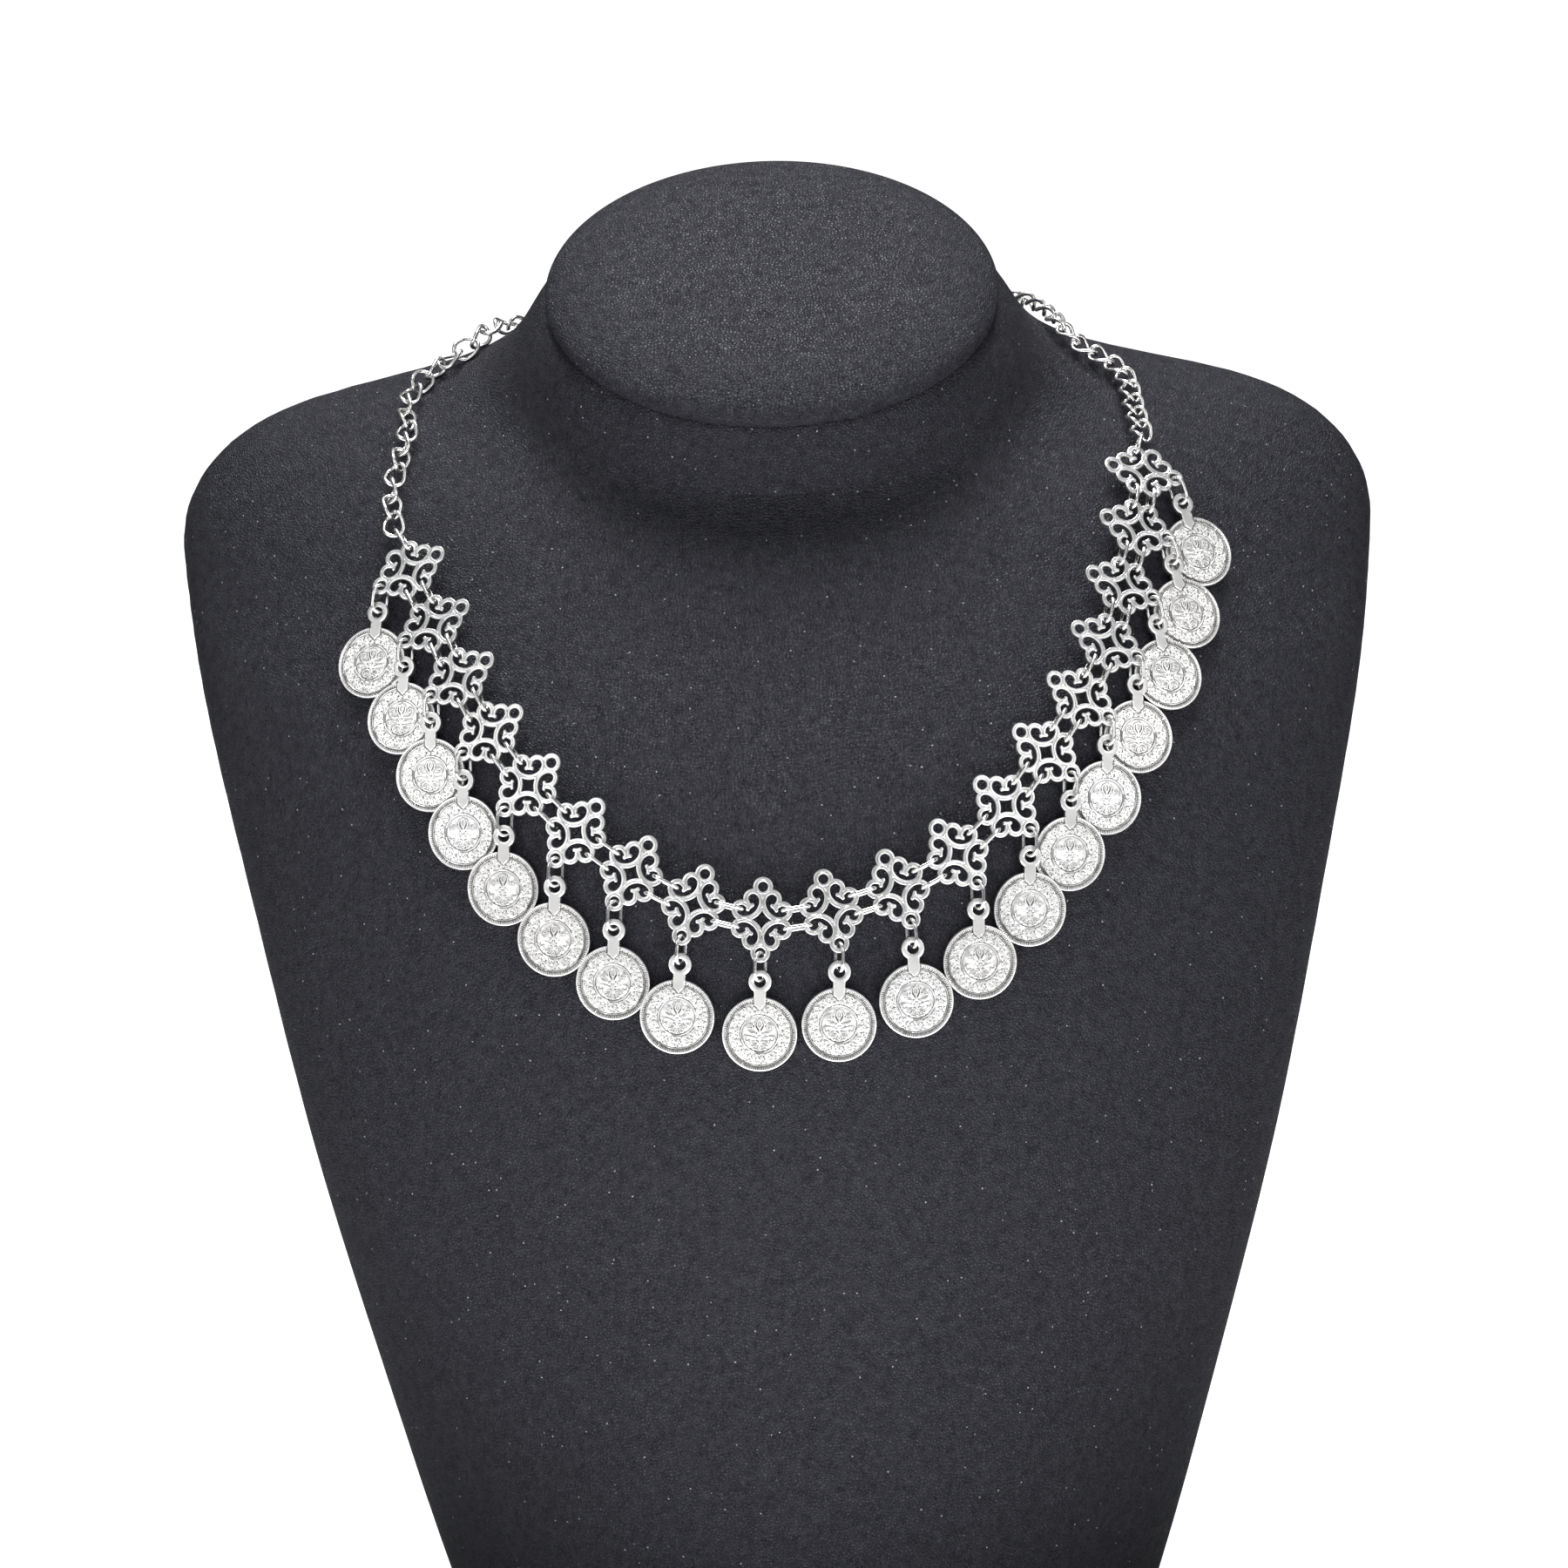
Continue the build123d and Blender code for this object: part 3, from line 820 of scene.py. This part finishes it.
class NECKLACE_OT_bust(bpy.types.Operator):
    """Make the leatherette bust and its padded cap"""
    bl_idname = "necklace.make_bust"
    bl_label = "Make bust"

    def execute(self, context):
        settings = context.scene.necklace_leather
        body = leather_material("bust_leatherette", settings, BODY_DUST)
        cap = leather_material("cap_leatherette", settings, CAP_DUST)
        mesh = add_mesh("bust_skin", *bust_surface(settings), sharp=60.0)
        subdivided(add_piece("bust_skin", mesh, body, ["bust_body"]), 1)
        mesh = add_mesh("cap_cushion", *cap_surface(settings), sharp=80.0)
        cushion = subdivided(add_piece("cap_cushion", mesh, cap, ["neck_cap"]), 1)
        return {"FINISHED"}


# Plates

def plate_mesh(settings):
    """One openwork plate in its own place: rounded bands with a cut line round every window."""
    points, triangles = surface(PLATES[len(PLATES) // 2])
    local = inside_pose(points, pose(points, triangles))
    front, back = local[:, 2].max(), local[:, 2].min()
    spacing, inset = settings.spacing / MM, settings.groove_inset / MM
    radius, crown_rise = settings.edge_round / MM, settings.crown / MM
    width, depth = settings.groove_width / MM, settings.groove_depth / MM
    loops = [finer(loop, spacing) for loop in outlines(local, triangles, front)]
    windows = loops[1:]
    inner = [beside(loop, radius * part) for loop in loops for part in (0.35, 1.0)]
    inner += [beside(loop, inset + width * part) for loop in windows for part in (-0.6, 0.0, 0.6)]
    fill = grid_over(loops[0], 1.6 * spacing)
    candidates = np.concatenate((*inner, fill[gap_to(fill, loops) > 1.2 * radius]))
    candidates = candidates[encloses(candidates, loops)]
    candidates = candidates[gap_to(candidates, loops) > 0.3 * radius]
    candidates = thinned(candidates, 0.3 * width)

    def height(places):
        gap = gap_to(places, loops)
        groove = np.exp(-((gap_to(places, windows) - inset) / (0.5 * width)) ** 2)
        groove *= smooth_step(gap_to(places, loops[:1]) / (2 * width))
        crown = crown_rise * smooth_step(gap / inset)
        level = front - crown_rise - rounded(gap, radius) + crown - depth * groove
        # Patina in the cut line, and painted shade on the edges of every outline
        return level, np.maximum(0.6 * groove, 0.55 * (gap < 0.02))

    return thick_sheet(loops, candidates, height, back)


def thinned(points, nearest):
    """Points with those closer than a distance to an earlier one left out."""
    cells = {}
    kept = []
    for point in points:
        cell = (int(point[0] // nearest), int(point[1] // nearest))
        near = [cells.get((cell[0] + i, cell[1] + j)) for i in (-1, 0, 1) for j in (-1, 0, 1)]
        if all(other is None or np.hypot(*(other - point)) >= nearest for other in near):
            cells[cell] = point
            kept.append(point)
    return np.array(kept)


class NECKLACE_OT_plates(bpy.types.Operator):
    """Make the openwork plates"""
    bl_idname = "necklace.make_plates"
    bl_label = "Make plates"

    def execute(self, context):
        silver = context.scene.necklace_silver
        material = silver_material("plate_silver", silver, silver.plate_roughness, patches=0.12, warmth=0.25)
        mesh = add_mesh("openwork_plate", *plate_mesh(context.scene.necklace_plates))
        add_copies("plate", "openwork_plate", mesh, material, PLATES)
        return {"FINISHED"}


# Coins

def curve_through(points, steps=8):
    """A smooth line through a few chosen points."""
    before, after = 2 * np.array(points[0]) - points[1], 2 * np.array(points[-1]) - points[-2]
    given = [before, *map(np.array, points), after]
    line = []
    for a, b, c, d in zip(given, given[1:], given[2:], given[3:]):
        for step in range(steps):
            t = step / steps
            line.append(0.5 * (2 * b + (c - a) * t + (2 * a - 5 * b + 4 * c - d) * t ** 2
                               + (3 * b - a - 3 * c + d) * t ** 3))
    return np.array([*line, given[-2]])


def curl(centre, start_radius, end_radius, start, turns, steps=14):
    """A spiral that closes in on a centre; its start and turns are in whole circles."""
    way = np.linspace(0, 1, steps)
    turn = 2 * math.pi * (start + turns * way)
    radius = start_radius + (end_radius - start_radius) * way
    return np.stack((centre[0] + radius * np.cos(turn), centre[1] + radius * np.sin(turn)), axis=1)


def palmette():
    """The coin's middle: a bud between two scrolls on a stem with leaves, as shares of the radius."""
    half = [
        curve_through([(0.0, -0.20), (0.05, -0.06), (0.12, 0.02), (0.24, 0.03), (0.33, 0.10), (0.34, 0.20),
                       (0.27, 0.26), (0.20, 0.22), (0.21, 0.15), (0.26, 0.15)]),
        curve_through([(0.03, 0.02), (0.08, 0.12), (0.12, 0.20), (0.12, 0.29), (0.08, 0.36)]),
        curve_through([(0.0, 0.40), (0.05, 0.31), (0.05, 0.22), (0.0, 0.13)]),
        curve_through([(0.04, -0.14), (0.14, -0.10), (0.27, -0.06), (0.38, -0.08), (0.40, -0.16),
                       (0.33, -0.20), (0.27, -0.16)]),
        curve_through([(0.02, -0.24), (0.10, -0.20), (0.19, -0.22), (0.24, -0.30), (0.17, -0.34),
                       (0.12, -0.29)]),
        curve_through([(0.0, -0.31), (0.04, -0.36), (0.0, -0.41)]),
        curve_through([(0.10, -0.41), (0.16, -0.40), (0.21, -0.37)]),
    ]
    stem = curve_through([(0.0, -0.34), (0.0, -0.20), (0.0, 0.10)])
    return [stem, *half, *[line * (-1, 1) for line in half]]


def scroll_band(units, low, high):
    """The band round the middle, as shares of the radius: a waved vine with curls and strokes."""
    middle, swing = (low + high) / 2, (high - low) / 2

    def polar(turn, radius):
        return np.stack((radius * np.cos(turn), radius * np.sin(turn)), axis=1)

    round_trip = np.linspace(0, 2 * math.pi, 24 * units, endpoint=False)
    lines = [polar(round_trip, middle + 0.52 * swing * np.sin(units * round_trip))]
    period = 2 * math.pi / units
    for unit in range(2 * units):
        side = 1 if unit % 2 == 0 else -1
        at = (unit + 0.5) * period / 2
        heart = (middle - 0.18 * side * swing) * np.array((math.cos(at), math.sin(at)))
        start = at / (2 * math.pi) + (0.5 if side > 0 else 0.0)
        lines.append(curl(heart, 0.34 * swing, 0.10 * swing, start, 0.85 * side))
        leaf = np.linspace(-0.17, 0.17, 5) * period
        bow = 0.93 * swing - 0.9 * np.abs(leaf) / period * swing * 0.5
        lines.append(polar(at + leaf, middle + side * bow))
        stroke = np.linspace(-0.6, 0.45, 5)
        turn = at + period / 4 + 0.06 * period * side * stroke
        lines.append(polar(turn, middle - side * (0.62 + 0.3 * stroke) * swing))
    return lines


def circle(radius, steps, start=0.0):
    """Evenly spaced points on a circle about the origin."""
    turns = 2 * math.pi * (np.arange(steps) + start) / steps
    return radius * np.stack((np.cos(turns), np.sin(turns)), axis=1)


def coin_points(radius, settings, open_lines, vine):
    """Points over a coin's face: at every tooth, beside every raised line, and between them."""
    half, spacing = settings.stroke / MM / 2, settings.spacing / MM
    points = [np.zeros((1, 2))]
    for reach in TOOTH_BAND:
        for phase in (*TOOTH_PHASES, 0.5):
            points.append(circle(reach * radius, settings.teeth, phase))
    for at, wide in CIRCLES:
        edge = 0.5 * wide
        for part in (-edge - 0.22, -edge - 0.05, -edge + 0.03, edge - 0.03, edge + 0.05, edge + 0.22):
            reach = at * radius + part
            if reach < (TOOTH_BAND[0] - 0.004) * radius:
                points.append(circle(reach, round(2 * math.pi * reach / 0.16)))
    for away in (0.75 * half, 1.25 * half, half + 0.2, 0.0):
        for side in (away, -away) if away else (0.0,):
            points += [beside(line, side, closed=False) for line in open_lines]
            points.append(beside(vine, side))
    reach = spacing
    while reach < TOOTH_BAND[0] * radius - 0.5 * spacing:
        points.append(circle(reach, round(2 * math.pi * reach / spacing)))
        reach += spacing
    points.append(circle((TOOTH_BAND[-1] + 1) / 2 * radius, settings.teeth))
    return np.concatenate(points)


def coin_mesh(settings):
    """One struck coin in its own place, with its hanger and the tongue that laps on to its face."""
    points, triangles = surface(COINS[len(COINS) // 2])
    local = inside_pose(points, pose(points, triangles))
    back, tongue_top = local[:, 2].min(), local[:, 2].max()
    face = np.unique(np.round(local[:, 2], 2))[-2]
    shape = [finer(loop[::-1], COIN_OUTLINE_STEP) for loop in outlines(local, triangles, back)]
    tongue = [finer(loop, TONGUE_OUTLINE_STEP) for loop in outlines(local, triangles, tongue_top)]
    low, high = shape[0].min(axis=0), shape[0].max(axis=0)
    radius = (high[0] - low[0]) / 2
    middle = np.array(((high[0] + low[0]) / 2, low[1] + radius))
    edge, relief, stroke = (value / MM for value in (settings.edge_round, settings.relief, settings.stroke))
    half = stroke / 2
    vine, *scrolls = [line * radius for line in scroll_band(settings.band_units, *SCROLL_BAND)]
    open_lines = [line * radius for line in palmette()] + scrolls
    on_coin = coin_points(radius, settings, open_lines, vine) + middle
    clear = (gap_to(on_coin, tongue) > 0.5 * edge) & ~encloses(on_coin, tongue)
    grid = grid_over(tongue[0], TONGUE_STEP)
    inner = [beside(loop, edge * part) for loop in shape for part in (0.35, 1.0)]
    inner += [beside(loop, edge * part) for loop in tongue for part in (-1.2, -0.3, 0.3, 1.0)]
    candidates = np.concatenate((*inner, on_coin[clear], grid[encloses(grid, tongue)]))
    candidates = candidates[encloses(candidates, shape) & (gap_to(candidates, shape) > 0.3 * edge)]
    candidates = thinned(candidates, COIN_CLOSEST)

    def height(places):
        away = places - middle
        reach = np.hypot(away[:, 0], away[:, 1]) / radius
        phase = settings.teeth * np.arctan2(away[:, 1], away[:, 0]) / (2 * math.pi)
        gap = np.minimum(gap_to(away, open_lines, closed=False), gap_to(away, [vine]))
        for at, wide in CIRCLES:
            gap = np.minimum(gap, abs(reach - at) * radius + half - wide / 2)
        raised = smooth_step((1.25 - gap / half) / 0.5)
        # Painted shade: a dark band along the sides of every raised line; the ground between them takes a
        # little patina
        outlined = smooth_step((gap / half - 0.75) / 0.5) * (1 - smooth_step((gap - half - 0.05) / 0.11))
        recess = np.maximum(0.95 * outlined, 0.08 * (1 - raised))
        notch = 1 - smooth_step((abs(phase - np.round(phase)) - TOOTH_PHASES[2]) / 0.14)
        toothed = (reach > TOOTH_BAND[0] + 0.002) & (reach < TOOTH_BAND[-1] - 0.002)
        rim = reach >= TOOTH_BAND[-1] - 0.002
        raised = np.where(rim, 1.0, np.where(toothed, 1 - 0.85 * notch, raised))
        recess = np.where(rim, 0.0, np.where(toothed, 0.92 * notch, recess))
        beyond = gap_to(places, tongue)
        on = encloses(places, tongue) & (beyond > 0.2 * edge)
        level = np.where(on, tongue_top - rounded(beyond, edge), face - relief * (1 - raised))
        level -= rounded(gap_to(places, shape), edge)
        # Painted shade round the edge of the tongue and on the face beside it
        recess = np.maximum(recess, 0.85 * (beyond < 1.3 * edge) * (reach < 0.97))
        on_tongue = 0.34 * smooth_step((beyond - 0.2) / 0.15)
        return level, np.where(on, on_tongue, recess * (reach < 1.0))

    return thick_sheet(shape, candidates, height, back)


class NECKLACE_OT_coins(bpy.types.Operator):
    """Make the struck coins with their hangers"""
    bl_idname = "necklace.make_coins"
    bl_label = "Make coins"

    def execute(self, context):
        silver = context.scene.necklace_silver
        material = silver_material("coin_silver", silver, silver.coin_roughness, patches=0.16, warmth=0.5)
        mesh = add_mesh("struck_coin", *coin_mesh(context.scene.necklace_coins))
        add_copies("coin", "struck_coin", mesh, material, COINS)
        return {"FINISHED"}


# Rings and chain

def ring_sizes(points, triangles, placed):
    """Width, length and wire of a ring, in millimetres."""
    return np.ptp(inside_pose(points[np.unique(triangles)], placed), axis=0)


class NECKLACE_OT_rings(bpy.types.Operator):
    """Make the jump rings between the plates, at the coins and at the ends of the row"""
    bl_idname = "necklace.make_rings"
    bl_label = "Make rings"

    def execute(self, context):
        silver, wires = context.scene.necklace_silver, context.scene.necklace_wires
        material = silver_material("ring_silver", silver, silver.ring_roughness, patches=0.3, warmth=0.8)
        for node in RINGS:
            parts = []
            for points, triangles in solids(node):
                placed = pose(points, triangles)
                width, length, wire = ring_sizes(points, triangles, placed)
                points, faces = tube(ring_line(length, width, wire, wires.along), wire, wires.around)
                parts.append((moved(points * MM, placed), faces))
            mesh = add_mesh(node.replace("rings", "jump_rings"), *joined(parts))
            add_piece(mesh.name, mesh, material, [node])
        return {"FINISHED"}


def in_line(placements, start):
    """Placements in the order met when walking from a start, always on to the nearest one left."""
    line, left, here = [], list(placements), start
    while left:
        left.sort(key=lambda placed: np.linalg.norm(placed[:3, 3] - here))
        line.append(left.pop(0))
        here = line[-1][:3, 3]
    return line


def faced(placed, out, roll):
    """A placement turned about its own length to face a direction, and then by a roll."""
    along = placed[:3, 1]
    out = unit(out - (out @ along) * along)
    side = np.cross(along, out)
    turned = placed.copy()
    turned[:3, 2] = math.cos(roll) * out + math.sin(roll) * side
    turned[:3, 0] = np.cross(along, turned[:3, 2])
    return turned


def twisted(line, twist):
    """A ring's middle line twisted about its long way, by an angle from end to end."""
    turn = twist * line[:, 1] / np.ptp(line[:, 1])
    return np.stack((line[:, 0] * np.cos(turn), line[:, 1], line[:, 0] * np.sin(turn)), axis=1)


class NECKLACE_OT_chain(bpy.types.Operator):
    """Make the twisted links of the chain, and finish its clasp"""
    bl_idname = "necklace.make_chain"
    bl_label = "Make chain"

    def execute(self, context):
        silver, wires = context.scene.necklace_silver, context.scene.necklace_wires
        roughness = silver.ring_roughness + 0.08
        material = silver_material("chain_silver", silver, roughness, patches=0.25, warmth=0.6)
        tree = leather_tree()
        for node in CHAINS:
            left = node == CHAINS[0]
            links = solids(node)
            placements = [pose(*link) for link in links]
            width, length, wire = ring_sizes(*links[0], placements[0])
            line = ring_line(length, width, wire, wires.along)
            twist = wires.left_twist if left else wires.right_twist
            points, faces = tube(twisted(line, twist), wire, wires.around)
            row_end = np.array(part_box(PLATES[0] if left else PLATES[-1])[1])
            line_up = in_line(placements, row_end)
            ahead = np.gradient(np.array([placed[:3, 3] for placed in line_up]), axis=0)
            parts = []
            for number, placed in enumerate(line_up):
                if placed[:3, 1] @ ahead[number] < 0:
                    placed[:3, :2] *= -1
                out = np.array(tree.find_nearest(Vector(placed[:3, 3]))[1])
                roll = wires.left_roll * number if left else wires.right_lean
                parts.append((moved(points * MM, faced(placed, out, roll)), faces))
            mesh = add_mesh(node.replace("chain", "curb_chain"), *joined(parts))
            add_piece(mesh.name, mesh, material, [node])
        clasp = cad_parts["clasp"]
        clasp.data.materials.clear()
        clasp.data.materials.append(material)
        return {"FINISHED"}


# Floor, light and camera

def add_light(name, place, target, size, watts):
    """A square soft light that faces a target and isn't seen itself."""
    light = bpy.data.lights.new(name, "AREA")
    light.shape = "SQUARE"
    light.size = size
    light.energy = watts
    lamp = bpy.data.objects.new(name, light)
    lamp.location = place
    lamp.rotation_mode = "QUATERNION"
    lamp.rotation_quaternion = (Vector(target) - Vector(place)).to_track_quat("-Z", "Y")
    lamp.visible_camera = False
    bpy.context.scene.collection.objects.link(lamp)


def view_axes(settings):
    """The camera's right, up and forward directions."""
    east, rise, roll = settings.azimuth, settings.elevation, settings.roll
    forward = np.array((math.sin(east) * math.cos(rise), math.cos(east) * math.cos(rise), -math.sin(rise)))
    right = np.array((math.cos(east), -math.sin(east), 0.0))
    up = np.cross(right, forward)
    turned_right = math.cos(roll) * right - math.sin(roll) * up
    turned_up = math.sin(roll) * right + math.cos(roll) * up
    return turned_right, turned_up, forward


def add_floor(settings):
    """A wide pale floor under the bust."""
    mesh = bpy.data.meshes.new("floor")
    corners = [(x * FLOOR_REACH, y * FLOOR_REACH, 0) for x, y in ((-1, -1), (1, -1), (1, 1), (-1, 1))]
    mesh.from_pydata(corners, [], [(0, 1, 2, 3)])
    floor = bpy.data.objects.new("floor", mesh)
    floor.location.z = -FLOOR_DROP
    bpy.context.scene.collection.objects.link(floor)
    material, tree, shader = new_material("pale_floor")
    shader.inputs["Base Color"].default_value = (*settings.floor_tone, 1.0)
    shader.inputs["Roughness"].default_value = 0.9
    shader.inputs["Specular IOR Level"].default_value = 0.0
    shader.inputs["Emission Color"].default_value = (1.0, 1.0, 1.0, 1.0)
    seen = put(tree, "ShaderNodeLightPath").outputs["Is Camera Ray"]
    glow = math_node(tree, "MULTIPLY", seen, settings.floor_glow)
    tree.links.new(glow, shader.inputs["Emission Strength"])
    mesh.materials.append(material)


def set_world(settings):
    """A soft surround, lightest overhead and a little in front."""
    world = bpy.data.worlds.new("studio")
    bpy.context.scene.world = world
    world.use_nodes = True
    tree = world.node_tree
    way = put(tree, "ShaderNodeTexCoord").outputs["Generated"]
    toward = put(tree, "ShaderNodeVectorMath", {0: way, 1: LIGHT_WAY}, operation="DOT_PRODUCT")
    overhead = spread_node(tree, toward.outputs["Value"], -0.05, 1.0)
    level = math_node(tree, "MULTIPLY_ADD", overhead, settings.overhead_light, settings.side_light)
    tree.links.new(level, tree.nodes["Background"].inputs["Strength"])
    tree.nodes["Background"].inputs["Color"].default_value = (0.96, 0.98, 1.0, 1.0)


class NECKLACE_OT_stage(bpy.types.Operator):
    """Set the floor, the studio light and the camera"""
    bl_idname = "necklace.set_stage"
    bl_label = "Set stage"

    def execute(self, context):
        settings = context.scene.necklace_stage
        target = np.array(TARGET) * MM
        right, up, forward = view_axes(settings)
        camera_data = bpy.data.cameras.new("camera")
        camera_data.lens = settings.focal
        camera_data.sensor_width = 36.0
        camera_data.clip_start = 0.01
        camera_data.clip_end = 50.0
        camera = bpy.data.objects.new("camera", camera_data)
        placed = np.eye(4)
        placed[:3, :3] = np.stack((right, up, -forward), axis=1)
        placed[:3, 3] = target - settings.distance * forward
        camera.matrix_world = Matrix(placed.tolist())
        context.scene.collection.objects.link(camera)
        context.scene.camera = camera
        add_floor(settings)
        set_world(settings)
        add_light("top_light", TOP_PLACE, target, TOP_SIZE, settings.top_power)
        for side in (-1, 1):
            place = (side * KEY_PLACE[0], *KEY_PLACE[1:])
            add_light("key_light", place, target, KEY_SIZE, settings.key_power)
        above_card = (*CARD_PLACE[:2], 1.0)
        add_light("front_card", CARD_PLACE, above_card, CARD_SIZE, settings.card_power)
        context.scene.view_settings.view_transform = "Standard"
        return {"FINISHED"}


class NECKLACE_PT_panel(bpy.types.Panel):
    """Lists the steps of the necklace and their settings"""
    bl_label = "Necklace"
    bl_idname = "NECKLACE_PT_panel"
    bl_space_type = "VIEW_3D"
    bl_region_type = "UI"
    bl_category = "Necklace"

    def draw(self, context):
        for operator, group in STEPS:
            box = self.layout.box()
            box.operator(operator.bl_idname)
            for name in SETTINGS[group].__annotations__:
                box.prop(getattr(context.scene, group), name)


SETTINGS = {
    "necklace_leather": LeatherSettings,
    "necklace_silver": SilverSettings,
    "necklace_plates": PlateSettings,
    "necklace_coins": CoinSettings,
    "necklace_wires": WireSettings,
    "necklace_stage": StageSettings,
}
STEPS = [
    (NECKLACE_OT_stage, "necklace_stage"),
    (NECKLACE_OT_bust, "necklace_leather"),
    (NECKLACE_OT_plates, "necklace_plates"),
    (NECKLACE_OT_coins, "necklace_coins"),
    (NECKLACE_OT_rings, "necklace_silver"),
    (NECKLACE_OT_chain, "necklace_wires"),
]


def register():
    """Adds the settings, the steps and the panel to Blender."""
    for name, group in SETTINGS.items():
        bpy.utils.register_class(group)
        setattr(bpy.types.Scene, name, PointerProperty(type=group))
    for operator, _ in STEPS:
        bpy.utils.register_class(operator)
    bpy.utils.register_class(NECKLACE_PT_panel)


def unregister():
    """Takes them out again."""
    bpy.utils.unregister_class(NECKLACE_PT_panel)
    for operator, _ in STEPS:
        bpy.utils.unregister_class(operator)
    for name, group in SETTINGS.items():
        delattr(bpy.types.Scene, name)
        bpy.utils.unregister_class(group)


def main():
    """Makes everything in order."""
    register()
    bpy.ops.necklace.set_stage()
    bpy.ops.necklace.make_bust()
    bpy.ops.necklace.make_plates()
    bpy.ops.necklace.make_coins()
    bpy.ops.necklace.make_rings()
    bpy.ops.necklace.make_chain()


if __name__ == "__main__":
    main()
